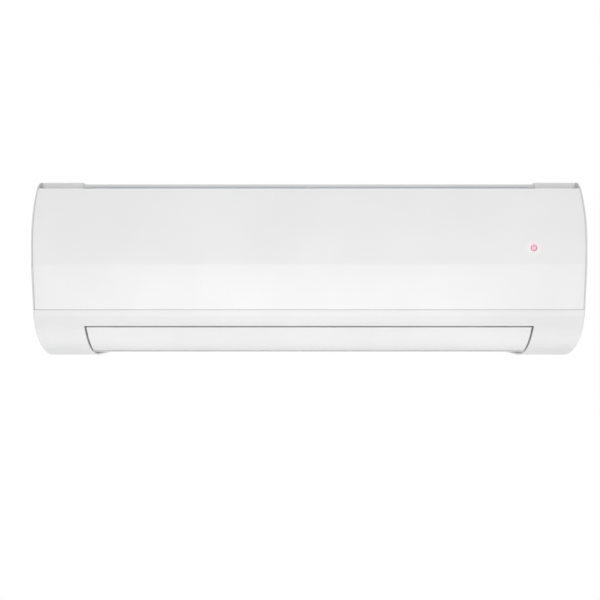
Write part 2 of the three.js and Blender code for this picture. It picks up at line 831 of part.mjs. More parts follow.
// The half-round seat under the motor, with its screw lugs, a web to the back and a rib below.
function motorBed() {
  const across = [motorX[0] + bedFrontInset, motorX[1] - bedRearInset];
  const seat = slab([
    ...arc(fanAxis, bedInner, 180, 360, 16),
    ...arc(fanAxis, bedInner + bedWall, 360, 180, 16),
  ], ...across);
  const lugs = bothSides.map((way) => block(
    across,
    about(lugY(way), lugHalf),
    [fanAxis.y - bedWall, fanAxis.y],
  ));
  const webZ = [fanAxis.y - 4 * bedWall, fanAxis.y - 3 * bedWall];
  const web = block(across, [fanAxis.x + bedInner + overlap, chassisBack[1]], webZ);
  const ribZ = [endFloorZ[0], fanAxis.y - bedInner - overlap];
  const rib = block(across, about(fanAxis.x, bedWall / 2), ribZ);
  return joined([seat, ...lugs, web, rib]);
}

// One side wall of the duct, from the fan's top down to the outlet.
function ductSide() {
  const wallFront = louvreAxis.x + sideFront;
  return slab([
    ...scrollArc(chassisWall / 2),
    ductEnd,
    point(wallFront, ductEnd.y),
    point(wallFront, fanAxis.y - sideKnee),
    ...arc(fanAxis, fanRadius + fanOpeningGap, 225, 50, 14),
  ], sideFace, sideFace + sideWall);
}

function rearChassis() {
  const across = [-sideFace - overlap, sideFace + overlap];
  const inner = [...scrollArc(0), ...arc(louvreAxis, lipRadius, lipStartAngle, lipEndAngle, 5)];
  const outer = [
    ...arc(louvreAxis, lipRadius + chassisWall, lipEndAngle, lipStartAngle, 5),
    ...scrollArc(chassisWall).reverse(),
  ];
  const scroll = slab([...inner, ...outer], ...across);
  const scrollHead = scrollArc(chassisWall / 2)[0];
  const gutterFront = scrollHead.x - overlap;
  const gutter = block(across, [gutterFront, chassisBack[1]], [gutterZ - chassisWall, gutterZ]);
  const gutterLip = block(
    across,
    [gutterFront - overlap, gutterFront - overlap + chassisWall],
    [scrollHead.y - 2 * overlap, gutterZ + gutterLipRise],
  );
  const scrollFoot = scrollArc(chassisWall / 2).at(-1);
  const footZ = [scrollFoot.y - chassisWall, scrollFoot.y];
  const foot = block(across, [scrollFoot.x, chassisBack[1]], footZ);
  const backTop = topZ - grilleDrop - grilleWall - fitGap;
  const back = block([-chassisHalf, chassisHalf], chassisBack, [footZ[0], backTop]);

  // the end's back, its floor and the floor's screw boss
  const endX = [sideFace + sideWall + endFloorGap, chassisHalf];
  const end = joined([
    block(endX, chassisBack, [endFloorZ[0], scrollFoot.y]),
    block(endX, [-endFloorReach, chassisBack[1]], endFloorZ),
    post(2.5 * screwRadius, casingScrewX, casingScrewY, [endFloorZ[0], endFloorZ[1] + bossDepth]),
  ]);

  const hubClear = hubRadius + hubClearance;
  const bearingHole = rod(bushOuter + boreGap, [-halfWidth, -cheekInner + cutReach], fanAxis);
  const hubHole = rod(hubClear, [cheekInner - cutReach, motorX[0]], fanAxis);
  const bossHoles = bothSides.map((side) => post(
    screwRadius + closeGap,
    side * casingScrewX,
    casingScrewY,
    [bottomZ, endFloorZ[1] + bossDepth - screwRadius],
  ));
  const hookSlots = bothSides.map((side) => block(
    about(side * hookOffset, hookWidth / 2 + hookRoom),
    grown(chassisBack, hookRoom),
    [hookZ - hookRoom - overlap, hookZ + hookRise + hookRoom + overlap],
  ));
  const clampHoles = bothSides.map((way) => post(
    screwRadius + closeGap,
    clampScrewX,
    lugY(way),
    about(fanAxis.y, 4 * cutReach),
  ));
  const solid = joined([
    scroll, gutter, gutterLip, foot, back, mirrored(ductSide()), mirrored(end), motorBed(),
  ]);
  return without(solid, [
    bearingHole,
    hubHole,
    ...bossHoles,
    ...hookSlots,
    ...vaneStations().map(vaneHole),
    ...clampHoles,
  ]);
}

// ---------- drain tray with the duct's upper wall ----------

const trayHalf = sideFace - fitGap - overlap;
const trayRimY = facetEnd.x + frameBackDepth + 2 * fitGap;
const trayFloorZ = filterFoot.y - lowerCoilFoot - traySink;
const trayBackY = trayRimY + 2 * trayWall + coilThickness + trayPlay;
const stripEnd = onBelly(louvreTopZ + louvreTopGap);
const trayMouth = point(stripEnd.x + casingWall + trayMouthInset, stripEnd.y + trayWall);
const trayKnee = point(trayBackY + trayWall, trayFloorZ - chassisWall);

function drainTray() {
  const tongue = polar(fanAxis, fanRadius + tongueGap, tongueAngle);
  const rimZ = filterFoot.y - trayRimDrop;
  const section = [
    point(trayRimY, rimZ),
    point(trayRimY, trayFloorZ - trayNose),
    trayMouth,
    trayKnee,
    point(tongue.x - boreGap, tongue.y - tongueDepth),
    tongue,
    point(tongue.x - tongueWall, tongue.y),
    point(trayBackY, trayFloorZ + trayRise),
    point(trayBackY - overlap, trayFloorZ),
    point(trayRimY + trayWall, trayFloorZ),
    point(trayRimY + trayWall, rimZ),
  ];
  // the spout that the drain hose goes on, at the right end, and the pit that feeds it
  const spoutZ = trayFloorZ - spoutRadius - fitGap;
  const spoutCentre = point((trayRimY + trayBackY) / 2 - trayWall, spoutZ);
  const spoutEnd = sideFace + spoutReach;
  const boreStart = trayHalf - 1.5 * spoutPit;
  const spout = rod(spoutRadius, [trayHalf - overlap, spoutEnd], spoutCentre);
  const bore = rod(spoutBore, [boreStart, spoutEnd + cutReach], spoutCentre);
  const pit = block(
    [boreStart, boreStart + spoutPit],
    about(spoutCentre.x, spoutPit / 2),
    [spoutCentre.y - spoutPit / 2, trayFloorZ + cutReach],
  );
  return without(slab(section, -trayHalf, trayHalf).add(spout), [bore, pit]);
}

// ---------- heat exchanger ----------

// A half turn of tube in the plane of the slab, bulging out of its end.
class ReturnBend extends THREE.Curve {
  constructor(middle, side) {
    super();
    this.middle = middle;
    this.side = side;
  }

  getPoint(t, target = new THREE.Vector3()) {
    const angle = Math.PI * (t - 0.5);
    const reach = tubePitch / 2;
    return target.set(
      this.side * (coilHalf - overlap + reach * Math.cos(angle)),
      this.middle.x,
      this.middle.y + reach * Math.sin(angle),
    );
  }
}

function tubeAlong(path, radius, steps, sides) {
  const circle = new THREE.Shape(Array.from({ length: sides }, (_, i) => (
    polar(point(0, 0), radius, (360 * i) / sides)
  )));
  return new THREE.ExtrudeGeometry(circle, { steps, extrudePath: path, bevelEnabled: false });
}

// A slab of fins about its own middle, upright, with return bends at both ends.
function coilSlab(height) {
  const fins = block(about(0, coilHalf), about(0, coilThickness / 2), about(0, height / 2));
  const pairCount = Math.floor(height / (2 * tubePitch));
  const bends = [];
  for (const side of bothSides) {
    for (const row of bothSides) {
      for (let i = 0; i < pairCount; i += 1) {
        const z = (i - (pairCount - 1) / 2) * 2 * tubePitch;
        const path = new ReturnBend(point((row * coilThickness) / 4, z), side);
        bends.push(toSolid(tubeAlong(path, tubeRadius, 6, 6)));
      }
    }
  }
  return joined([fins, ...bends]);
}

const coilBehind = filterWall / 2 + coilFilterGap + coilThickness / 2;
const lowerCoilTop = lowerCoilHeight - lowerCoilFoot;
const upperCoilFoot = onFilter(lowerCoilTop + coilJointGap, coilBehind - overlap);
const rearCoilFoot = point(chassisBack[0] - rearCoilInset, gutterZ + rearCoilRise);
const coilApex = point((upperCoilFoot.x + rearCoilFoot.x) / 2 + coilApexShift, topZ - coilTopDrop);
const apexHalf = (coilThickness + coilApexGap) / 2;
const upperCoilTop = point(coilApex.x - apexHalf, coilApex.y);
const rearCoilTop = point(coilApex.x + apexHalf, coilApex.y - rearCoilDrop);

// A slab that stands on one point of the section and leans to another.
function placeCoil(name, foot, top) {
  const along = top.clone().sub(foot);
  const middle = foot.clone().lerp(top, 0.5);
  piece(name, coilSlab(along.length()), 'aluminium', {
    position: [0, middle.x, middle.y],
    rotation: [-Math.atan2(along.x, along.y), 0, 0],
  });
}

function heatExchanger() {
  const lowerFoot = onFilter(-lowerCoilFoot, coilBehind);
  placeCoil('coil_front_lower', lowerFoot, onFilter(lowerCoilTop, coilBehind));
  placeCoil('coil_front_upper', upperCoilFoot, upperCoilTop);
  placeCoil('coil_rear', rearCoilFoot, rearCoilTop);
}

// The refrigerant pipes leave the rear slab's right end, go down behind the motor and
// run left in the channel under the scroll.
const pipeRunX = halfWidth - pipeFromEnd;
const channelZ = bottomZ + pipeChannelHeight;

function stubPipe(radius, depth, portShare, endX) {
  const port = rearCoilFoot.clone().lerp(rearCoilTop, portShare);
  const quarter = pipeRound / 4;
  const down = port.y - 2.5 * quarter;
  const low = channelZ + 3.5 * quarter;
  const at = (x, y, z) => new THREE.Vector3(x, y, z);
  const path = new THREE.CatmullRomCurve3([
    at(coilHalf + overlap, port.x, port.y),
    at(coilHalf + pipeStub, port.x, port.y),
    at(pipeRunX - quarter, (port.x - depth) / 2, port.y - quarter / 2),
    at(pipeRunX, -depth, down),
    at(pipeRunX, -depth, (down + low) / 2),
    at(pipeRunX, -depth, low),
    at(pipeRunX - quarter, -depth, channelZ + quarter),
    at(pipeRunX - pipeRound, -depth, channelZ),
    at(pipeRunX - 2 * pipeRound, -depth, channelZ),
    at((pipeRunX + endX) / 2, -depth, channelZ),
    at(endX, -depth, channelZ),
  ], false, 'centripetal');
  return toSolid(tubeAlong(path, radius, 32, 8));
}

// A flare nut: a hexagon with a round neck, bored for its pipe, lying along X.
function flareNut(radius, length, pipeRadius, pipeEnd, depth) {
  const centre = point(-depth, channelZ);
  const face = pipeEnd + nutInset;
  const hexagon = rod(radius, [face - length, face], centre, 6);
  const neck = rod(0.72 * radius, [face - overlap, face + 0.4 * length], centre, 16);
  const bore = rod(pipeRadius + boreGap, [face - 2 * length, face + length], centre, 16);
  return hexagon.add(neck).subtract(bore);
}

function pipeClamp() {
  const start = pipeRunX - pipeClampFromEnd;
  const across = [start, start + pipeClampLength];
  const through = grown(across, overlap);
  const front = -liquidPipeDepth - liquidPipeRadius - pipeClampWall;
  const height = about(channelZ, pipeClampHeight / 2);
  return without(block(across, [front, chassisBack[0] - fitGap], height), [
    rod(gasPipeRadius + boreGap, through, point(-gasPipeDepth, channelZ)),
    rod(liquidPipeRadius + boreGap, through, point(-liquidPipeDepth, channelZ)),
  ]);
}

// ---------- fan and motor ----------

// One blade's section, swept forward towards its outer edge.
function bladeOutline(turn) {
  const inner = fanRadius - bladeBand;
  const depth = bladeBand - overlap;
  const halfAngle = THREE.MathUtils.radToDeg(bladeWall / 2 / fanRadius);
  const edge = (share, offset) => {
    const angle = turn + bladeSweepAngle * share * share + offset;
    return polar(fanAxis, inner + depth * share, angle);
  };
  const shares = [0, 0.5, 1];
  const front = shares.map((share) => edge(share, halfAngle));
  const back = shares.map((share) => edge(share, -halfAngle)).reverse();
  return [...front, ...back];
}

function fanWheel() {
  const parts = [];
  for (let i = 0; i < bladeCount; i += 1) {
    const turn = (360 * i) / bladeCount;
    parts.push(slab(bladeOutline(turn), -fanHalf + overlap, fanHalf - overlap));
  }
  const ringHole = fanRadius - bladeBand - ringWall;
  for (let i = 0; i < ringCount; i += 1) {
    const x = -fanHalf + ((2 * fanHalf - ringWall) * i) / (ringCount - 1);
    const across = [x, x + ringWall];
    const disc = rod(fanRadius, across, fanAxis, 32);
    const isEnd = i === 0 || i === ringCount - 1;
    parts.push(isEnd ? disc : disc.subtract(rod(ringHole, grown(across, overlap), fanAxis, 24)));
  }
  const stubEnd = -sideFace - bearingLength - fitGap;
  const hubEnd = sideFace + hubReach;
  parts.push(rod(shaftRadius, [stubEnd, -fanHalf + overlap], fanAxis, 16));
  parts.push(rod(hubRadius, [fanHalf - overlap, hubEnd], fanAxis));
  const socketX = [fanHalf + ringWall, hubEnd + cutReach];
  return joined(parts).subtract(rod(shaftRadius + fitGap, socketX, fanAxis, 16));
}

function motorShaft() {
  const across = [fanHalf + ringWall + shaftEndGap, motorX[0] + motorShaftInset];
  return rod(shaftRadius, across, fanAxis, 16);
}

function fanMotor() {
  const can = rod(motorRadius, motorX, fanAxis, 40);
  const nose = rod(motorNoseRadius, [motorX[0] - motorNose, motorX[0] + overlap], fanAxis);
  const tail = rod(motorTailRadius, [motorX[1] - overlap, motorX[1] + motorNose], fanAxis);
  const boreX = [motorX[0] - motorNose - overlap, motorX[0] + motorShaftInset + overlap];
  return can.add(nose).add(tail).subtract(rod(shaftRadius + fitGap, boreX, fanAxis, 16));
}

function motorClamp() {
  const hoop = slab([
    ...arc(fanAxis, bedInner, 2, 178, 16),
    ...arc(fanAxis, bedInner + bedWall, 178, 2, 16),
  ], ...clampX);
  const footZ = fanAxis.y + fitGap;
  const feet = bothSides.map((way) => block(
    clampX,
    about(lugY(way), lugHalf),
    [footZ, footZ + bedWall],
  ));
  const holes = bothSides.map((way) => post(
    screwRadius + closeGap,
    clampScrewX,
    lugY(way),
    [fanAxis.y - cutReach, footZ + bedWall + cutReach],
  ));
  return without(joined([hoop, ...feet]), [rod(bedInner, motorX, fanAxis, 40), ...holes]);
}

// A round-headed screw about its own head, pointing up (+Z).
function screw(length) {
  const tip = 0.4 * screwRadius;
  const profile = [
    point(0, -screwHeadHeight),
    point(0.7 * screwHead, -0.9 * screwHeadHeight),
    point(screwHead, -0.4 * screwHeadHeight),
    point(screwHead, 0),
    point(screwRadius, 0),
    point(screwRadius, length - screwRadius),
    point(tip, length),
    point(0, length),
  ];
  return new THREE.LatheGeometry(profile, 10).rotateX(Math.PI / 2);
}

function fanBearing() {
  const across = [-sideFace - bearingLength, -sideFace];
  return rod(bushOuter - bushWall, across, fanAxis)
    .subtract(rod(shaftRadius + boreGap, grown(across, cutReach), fanAxis, 16));
}

function bearingRubber() {
  const outside = -sideFace - bearingLength;
  const body = rod(bushOuter, [outside, -sideFace + fitGap], fanAxis);
  const flangeX = [outside, -sideFace - sideWall - boreGap];
  const flange = rod(bushOuter + bushWall, flangeX, fanAxis);
  const bore = rod(bushOuter - bushWall + boreGap, [outside - cutReach, -fanHalf], fanAxis);
  return body.add(flange).subtract(bore);
}

// ---------- louvre ----------

function louvre() {
  const top = onBellyAngle(louvreTopZ);
  const bottom = onBellyAngle(louvreBottomZ);
  const blade = slab([
    ...arc(bellyCentre, bellyRadius, top, bottom, 10),
    ...arc(bellyCentre, bellyRadius - louvreWall, bottom, top, 10),
  ], -louvreHalf, louvreHalf);
  const root = louvreWall - overlap;
  const arm = (start) => slab([
    onBelly(louvreAxis.y + louvreArmRise, root),
    onBelly(louvreAxis.y - louvreArmFall, root),
    ...arc(louvreAxis, louvrePinRadius + louvrePinRim, -60, 120, 6),
  ], start, start + louvreArmWall);
  const pin = (across) => rod(louvrePinRadius, across, louvreAxis, 12);
  const middle = supportHalf + moveGap;
  return blade.add(mirrored(joined([
    arm(louvreHalf - louvreArmWall),
    pin([louvreHalf - overlap, cheekInner + casingWall + louvrePinReach]),
    arm(middle),
    pin([0, middle + overlap]),
  ])));
}

// The bracket that comes down from the tray to hold the louvre's middle pins.
function louvreSupport() {
  const along = trayKnee.clone().sub(trayMouth).normalize();
  const down = point(along.y, -along.x);
  const top = trayMouth.clone().lerp(trayKnee, supportSeatShare).addScaledVector(down, fitGap);
  const plate = slab([
    ...arc(louvreAxis, supportRadius, 190, 350, 8),
    top.clone().addScaledVector(along, supportRadius),
    top.clone().addScaledVector(along, -supportRadius),
  ], -supportHalf, supportHalf);
  return plate.subtract(rod(louvrePinRadius + fitGap, [-cutReach, cutReach], louvreAxis));
}

function louvreMotor() {
  const start = cheekInner + casingWall + fitGap;
  const towards = bellyCentre.clone().sub(louvreAxis).normalize();
  const centre = louvreAxis.clone().addScaledVector(towards, stepperOffset);
  const can = rod(stepperRadius, [start, start + stepperLength], centre, 28);
  const boreX = [start - overlap, start + louvrePinReach + overlap];
  return can.subtract(rod(louvrePinRadius + boreGap, boreX, louvreAxis, 12));
}

// ---------- vanes ----------

const vaneFoot = ductStart.clone().lerp(ductEnd, vaneSeatShare);

function vaneStations() {
  const oneSide = Array.from({ length: vanesPerBank }, (_, i) => firstVane + i * vanePitch);
  return [...oneSide.map((x) => -x), ...oneSide];
}

// A point of the vanes' plane: along the duct towards the outlet, and up from its lower wall.
function onDuct(along, up) {
  return vaneFoot.clone().addScaledVector(ductAlong, along).addScaledVector(ductNormal, up);
}

// A short post square to the duct's lower wall, between two heights above it.
function ductPost(radius, x, along, [low, high], sides = 8) {
  const geometry = new THREE.CylinderGeometry(radius, radius, high - low, sides);
  const up = onDuct(0, 1).sub(onDuct(0, 0));
  geometry.rotateX(Math.atan2(up.y, up.x));
  const middle = onDuct(along, (low + high) / 2);
  return toSolid(geometry.translate(x, middle.x, middle.y));
}

function vaneHole(x) {
  return ductPost(vanePinRadius + fitGap, x, 0, [-vanePinDepth - 2 * overlap, 3 * overlap]);
}

function vane(x) {
  const across = about(x, vaneWall / 2);
  const blade = slab([
    onDuct(-vaneHeel, vaneLift),
    onDuct(vaneToe, vaneLift),
    onDuct(vaneTopToe, vaneHeight),
    onDuct(vaneTopHeel, vaneHeight),
    onDuct(-vaneHeel, vaneToe),
  ], ...across);
  const tabZ = linkLift - linkWall / 2 - closeGap;
  const tabEnd = -linkArm - linkPinRadius;
  const tab = slab([
    onDuct(-vaneHeel + overlap, tabZ - linkWall / 2),
    onDuct(-vaneHeel + overlap, tabZ + linkWall / 4),
    onDuct(tabEnd, tabZ + linkWall / 4),
    onDuct(tabEnd, tabZ - linkWall / 2),
  ], ...across);
  return joined([
    blade,
    ductPost(vaneFootRadius, x, 0, [vaneLift - overlap, vaneLift + fitGap]),
    ductPost(vanePinRadius, x, 0, [-vanePinDepth, vaneLift]),
    tab,
    ductPost(linkPinRadius, x, -linkArm, [tabZ, linkPinTop]),
  ]);
}

// The bar that joins one bank's vanes, with a slot round each one's pin.
function vaneLink(side) {
  const inner = firstVane - linkOverhang;
  const outer = firstVane + (vanesPerBank - 1) * vanePitch + linkOverhang;
  const bar = (along, [low, high], [start, end]) => slab([
    onDuct(along - linkHalf, low),
    onDuct(along - linkHalf, high),
    onDuct(along + linkHalf, high),
    onDuct(along + linkHalf, low),
  ], start, end);
  const ends = side > 0 ? [inner, outer] : [-outer, -inner];
  const slots = vaneStations().map((x) => slab([
    onDuct(-linkArm - linkSlotHalf, linkLift - overlap),
    onDuct(-linkArm - linkSlotHalf, linkLift + linkWall + overlap),
    onDuct(-linkArm + linkSlotHalf, linkLift + linkWall + overlap),
    onDuct(-linkArm + linkSlotHalf, linkLift - overlap),
  ], ...about(x, linkPinRadius + 2 * boreGap)));
  return without(bar(-linkArm, [linkLift, linkLift + linkWall], ends), slots);
}

// ---------- filters ----------

const filterInner = postHalf + filterEdgeGap;

// One filter about the middle of its foot, upright: a frame with bars over a thin net.
function airFilter() {
  const half = (filterOuter - filterInner) / 2;
  const frame = block(about(0, half), about(0, filterWall / 2), [0, filterLength]);
  const columnPitch = (2 * half - filterBar) / filterColumnCount;
  const rowPitch = (filterLength - filterBar) / filterRowCount;
  const cells = [];
  for (let column = 0; column < filterColumnCount; column += 1) {
    for (let row = 0; row < filterRowCount; row += 1) {
      const x = [-half + filterBar + column * columnPitch, -half + (column + 1) * columnPitch];
      const z = [filterBar + row * rowPitch, (row + 1) * rowPitch];
      cells.push(block(x, [netWall / 2, filterWall], z));
      cells.push(block(x, [-filterWall, -netWall / 2], z));
    }
  }
  return without(frame, cells);
}

function airFilters() {
  const guides = new THREE.Group();
  guides.position.set(0, filterFoot.x, filterFoot.y + filterFootGap);
  guides.rotation.set(-radians(filterTilt), 0, 0);
  unit.add(guides);
  const middle = (filterOuter + filterInner) / 2;
  piece('filter_left', airFilter(), 'filter', { position: [-middle, 0, 0], into: guides });
  piece('filter_right', airFilter(), 'filter', { position: [middle, 0, 0], into: guides });
}

// ---------- electrics ----------

const boxOuter = insideHalf - controlBoxSideGap;
const boxX = [boxOuter - controlBoxWidth, boxOuter];
const boxY = [frontY + controlBoxFront, frontY + controlBoxFront + controlBoxDepth];
const boxZ = [bottomZ + controlBoxFoot, topZ - controlBoxDrop];
const boxMiddle = (boxX[0] + boxX[1]) / 2;
const insideX = grown(boxX, -boxWall);
const insideZ = grown(boxZ, -boxWall);
const boardBack = boxY[1] - boxWall - boardStandoff;
const boardY = [boardBack - boardWall, boardBack];
const partsBack = boardY[0] - closeGap;

function controlBox() {
  const tray = block(boxX, boxY, boxZ)
    .subtract(block(insideX, [boxY[0] - overlap, boxY[1] - boxWall], insideZ));
  piece('control_box', tray, 'innerPlastic');
  const coverBack = boxY[0] - closeGap;
  const cover = block(boxX, [coverBack - boxWall, coverBack], boxZ)
    .subtract(plug(buttonStem + overlap, buttonX, about(boxY[0], cutReach), buttonZ));
  piece('control_box_cover', cover, 'innerPlastic');
}

function mainBoard() {
  const board = block(grown(insideX, -boxWall), boardY, grown(insideZ, -boxWall - overlap));
  piece('main_board', board, 'board');

  const terminalZ = [insideZ[0] + boxWall, insideZ[0] + boxWall + terminalHeight];
  const span = about(boxMiddle, (terminalCount * terminalPitch + boxWall) / 2);
  const body = block(span, [partsBack - terminalDepth, partsBack], terminalZ);
  const wellY = [partsBack - 2 * terminalDepth, partsBack - terminalDepth + terminalWellDepth];
  const wells = Array.from({ length: terminalCount }, (_, i) => {
    const x = boxMiddle + (i - (terminalCount - 1) / 2) * terminalPitch;
    return block(about(x, terminalWellHalf), wellY, grown(terminalZ, -boxWall));
  });
  piece('terminal_block', without(body, wells), 'darkPlastic');

  const capacitorX = boxMiddle - capacitorRadius - boxWall;
  const capacitorY = [partsBack - capacitorDepth, partsBack];
  const capacitorZ = boxZ[0] + capacitorRise;
  piece('capacitor', plug(capacitorRadius, capacitorX, capacitorY, capacitorZ), 'darkPlastic');

  const relayX = boxMiddle + 3 * boxWall;
  const relay = block(
    [relayX, relayX + relayWidth],
    [partsBack - relayWidth, partsBack],
    [boxZ[0] + relayRise, boxZ[0] + relayRise + relayHeight],
  );
  piece('relay', relay, 'zinc');
}

// The push button on the frame, its stem, and the switch on the board behind it.
function emergencySwitch() {
  const switchFace = boxY[0] + switchInset;
  piece('push_switch', block(
    about(buttonX, switchHalf),
    [switchFace, partsBack],
    about(buttonZ, switchHalf),
  ), 'darkPlastic');
  const frameFace = onFacet(buttonZ - panelBottomZ) + frameDepth;
  const headY = [frameFace - buttonProud, frameFace + buttonHead];
  const stemY = [headY[1] - overlap, switchFace - buttonTravel - closeGap];
  const button = plug(buttonRadius, buttonX, headY, buttonZ)
    .add(plug(buttonStem, buttonX, stemY, buttonZ));
  piece('emergency_button', button, 'innerPlastic');
}

// The y of the frame's back where the outline is upright.
function frameBackAt(z) {
  const rise = Math.max(0, z - browCentre.y);
  return browCentre.x - Math.sqrt((browRadius - frameBackDepth) ** 2 - rise ** 2);
}

function displayUnit() {
  const [front, back] = displayY;
  const inner = block(
    grown(displayX, -displayWall),
    [front - overlap, back - displayWall],
    grown(displayZ, -displayWall),
  );
  const housing = block(displayX, displayY, displayZ).subtract(inner);
  const earFront = frameBackAt(lensZ) + fitGap;
  const ear = block(
    [displayX[1] - overlap, displayX[1] + displayEar],
    [earFront, earFront + displayWall],
    grown(displayZ, -displayEar / 2),
  );
  piece('display_housing', housing.add(ear), 'innerPlastic');

  const slack = displayWall + fitGap;
  const boardEnd = back - displayWall - 2 * closeGap - overlap;
  const boardStart = boardEnd - displayWall;
  const across = grown(displayX, -slack);
  const board = block(across, [boardStart, boardEnd], grown(displayZ, -slack));
  piece('display_board', board, 'board');
  const face = boardStart - closeGap;
  piece('power_light', plug(lightRadius, indicatorX, [face - lightDepth, face], lensZ), 'lens');
  const receiver = block(
    [across[1] - receiverWidth - closeGap, across[1] - closeGap],
    [face - receiverDepth, face],
    [displayZ[0] + 2 * slack, displayZ[0] + 2 * slack + receiverHeight],
  );
  piece('remote_receiver', receiver, 'darkPlastic');
}

// ---------- wall plate ----------

function wallPlate() {
  const plateHalf = halfWidth - plateFromEnd;
  const plate = block(about(0, plateHalf), [-plateWall, 0], about(0, plateHeight / 2));
  const hookFront = chassisBack[0] - hookWall - moveGap;
  const hooks = bothSides.map((side) => {
    const across = about(side * hookOffset, hookWidth / 2);
    const shelf = block(across, [hookFront, -overlap], about(hookZ, hookWall / 2));
    const lip = block(across, [hookFront, hookFront + hookWall], [hookZ - overlap, hookZ + hookRise]);
    return shelf.add(lip);
  });
  const through = [-cutReach, cutReach];
  const holes = [];
  for (const x of [plateHoleInset - plateHalf, 0, plateHalf - plateHoleInset]) {
    for (const side of bothSides) {
      const z = side * (plateHeight / 2 - plateHoleEdge);
      holes.push(plug(plateHoleRadius, x, through, z, 10));
    }
  }
  const windows = bothSides.map((side) => block(
    about(side * plateWindowOffset, plateWindowHalf),
    through,
    [-plateWindowFoot, plateWindowTop],
  ));
  return without(joined([plate, ...hooks]), [...holes, ...windows]);
}

// ---------- put together ----------

piece('wall_plate', wallPlate(), 'zinc');
piece('rear_chassis', rearChassis(), 'innerPlastic');
piece('front_casing', frontCasing(), 'shell');
piece('front_panel', frontPanel(), 'panel');
piece('indicator_lens', indicatorLens(), 'lens');
piece('hinge_arm_right', hingeArm(), 'panel');
piece('hinge_arm_left', hingeArm().mirror([1, 0, 0]), 'panel');
piece('intake_grille', intakeGrille(), 'shell');
piece('drain_tray', drainTray(), 'innerPlastic');
heatExchanger();
const gasPipe = stubPipe(gasPipeRadius, gasPipeDepth, gasPortShare, gasPipeEnd);
const liquidPipe = stubPipe(liquidPipeRadius, liquidPipeDepth, liquidPortShare, liquidPipeEnd);
const gasNut = flareNut(gasNutRadius, gasNutLength, gasPipeRadius, gasPipeEnd, gasPipeDepth);
const liquidNut = flareNut(
  liquidNutRadius,
  liquidNutLength,
  liquidPipeRadius,
  liquidPipeEnd,
  liquidPipeDepth,
);
piece('gas_pipe', gasPipe, 'copper');
piece('liquid_pipe', liquidPipe, 'copper');
piece('gas_flare_nut', gasNut, 'brass');
piece('liquid_flare_nut', liquidNut, 'brass');
piece('pipe_clamp', pipeClamp(), 'innerPlastic');
piece('fan_wheel', fanWheel(), 'fan');
piece('motor_shaft', motorShaft(), 'zinc');
piece('fan_motor', fanMotor(), 'zinc');
piece('motor_clamp', motorClamp(), 'innerPlastic');
for (const way of bothSides) {
  const name = way < 0 ? 'motor_screw_front' : 'motor_screw_rear';
  const position = [clampScrewX, lugY(way), fanAxis.y + 2 * fitGap + bedWall];
  piece(name, screw(clampScrewLength), 'zinc', { position, rotation: [Math.PI, 0, 0] });
}
piece('fan_bearing', fanBearing(), 'brass');
piece('bearing_rubber', bearingRubber(), 'rubber');
piece('louvre', louvre(), 'shell');
piece('louvre_support', louvreSupport(), 'innerPlastic');
piece('louvre_motor', louvreMotor(), 'zinc');
vaneStations().forEach((x, i) => {
  const bank = x < 0 ? 'left' : 'right';
  piece(`vane_${bank}_${(i % vanesPerBank) + 1}`, vane(x), 'innerPlastic');
});
piece('vane_link_left', vaneLink(-1), 'innerPlastic');
piece('vane_link_right', vaneLink(1), 'innerPlastic');
airFilters();
controlBox();
mainBoard();
emergencySwitch();
displayUnit();
for (const side of bothSides) {
  const name = side < 0 ? 'left' : 'right';
  const x = side * casingScrewX;
  const position = [x, casingScrewY, bottomZ + screwSink - closeGap];
  piece(`casing_screw_${name}`, screw(casingScrewLength), 'zinc', { position });
  const capZ = [bottomZ + capLift, bottomZ + capLift + capHeight];
  const cap = post(screwHead + 2 * closeGap, x, casingScrewY, capZ);
  piece(`screw_cap_${name}`, cap, 'shell');
}

export default unit;
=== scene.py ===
# The wall-hung indoor unit of a split air conditioner, in metres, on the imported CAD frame.
# Sizes are given in millimetres and turned into metres by mm().

from math import asin, cos, degrees, pi, radians, sin, sqrt, tan

import bmesh
import bpy
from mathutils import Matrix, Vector


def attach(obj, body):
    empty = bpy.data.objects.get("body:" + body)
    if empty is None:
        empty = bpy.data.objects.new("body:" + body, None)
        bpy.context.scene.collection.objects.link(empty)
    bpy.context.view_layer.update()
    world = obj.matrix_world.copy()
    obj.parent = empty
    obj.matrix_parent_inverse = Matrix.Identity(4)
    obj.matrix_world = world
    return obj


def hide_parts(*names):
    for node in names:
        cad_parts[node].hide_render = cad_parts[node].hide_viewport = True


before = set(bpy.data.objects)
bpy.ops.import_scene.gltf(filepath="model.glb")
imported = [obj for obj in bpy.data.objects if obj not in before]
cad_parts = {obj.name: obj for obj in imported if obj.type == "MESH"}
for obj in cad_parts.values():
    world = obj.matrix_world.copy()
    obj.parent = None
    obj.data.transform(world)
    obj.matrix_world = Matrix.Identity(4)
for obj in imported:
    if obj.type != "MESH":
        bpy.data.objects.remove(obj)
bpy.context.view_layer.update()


def mm(value):
    return value * 0.001


# ---------- the unit's sizes, in millimetres ----------

HALF_WIDTH = 422.5
TOP = 137.5
BOTTOM = -137.5
FRONT = -180.0
BACK = -2.0
END_WALL = 3.0
INSIDE_HALF = HALF_WIDTH - END_WALL
RAISED_INNER = 355.0
TOP_FRONT = -141.0
PANEL_TOP = 126.0
PANEL_BOTTOM = -61.5
CREASE = 7.5
BROW_RADIUS = 175.0
BROW_CENTRE = (-5.0, 40.0)
FACET_TILT = radians(6.5)
FACET_END_Y = FRONT + (CREASE - PANEL_BOTTOM) * tan(FACET_TILT)
BELLY_RADIUS = 86.0
BELLY_CENTRE = (FACET_END_Y + sqrt(BELLY_RADIUS ** 2 - 10.0 ** 2), BOTTOM + BELLY_RADIUS)
PANEL_WALL = 2.5
PANEL_HALF = INSIDE_HALF - 0.35
PANEL_EDGE = 0.45
FOOT_DROP = 0.4
PANEL_FOOT = PANEL_BOTTOM - FOOT_DROP
INDICATOR_X = 340.5
INDICATOR_Z = 32.0
LENS_RADIUS = 7.0
LENS_GAP = 0.15
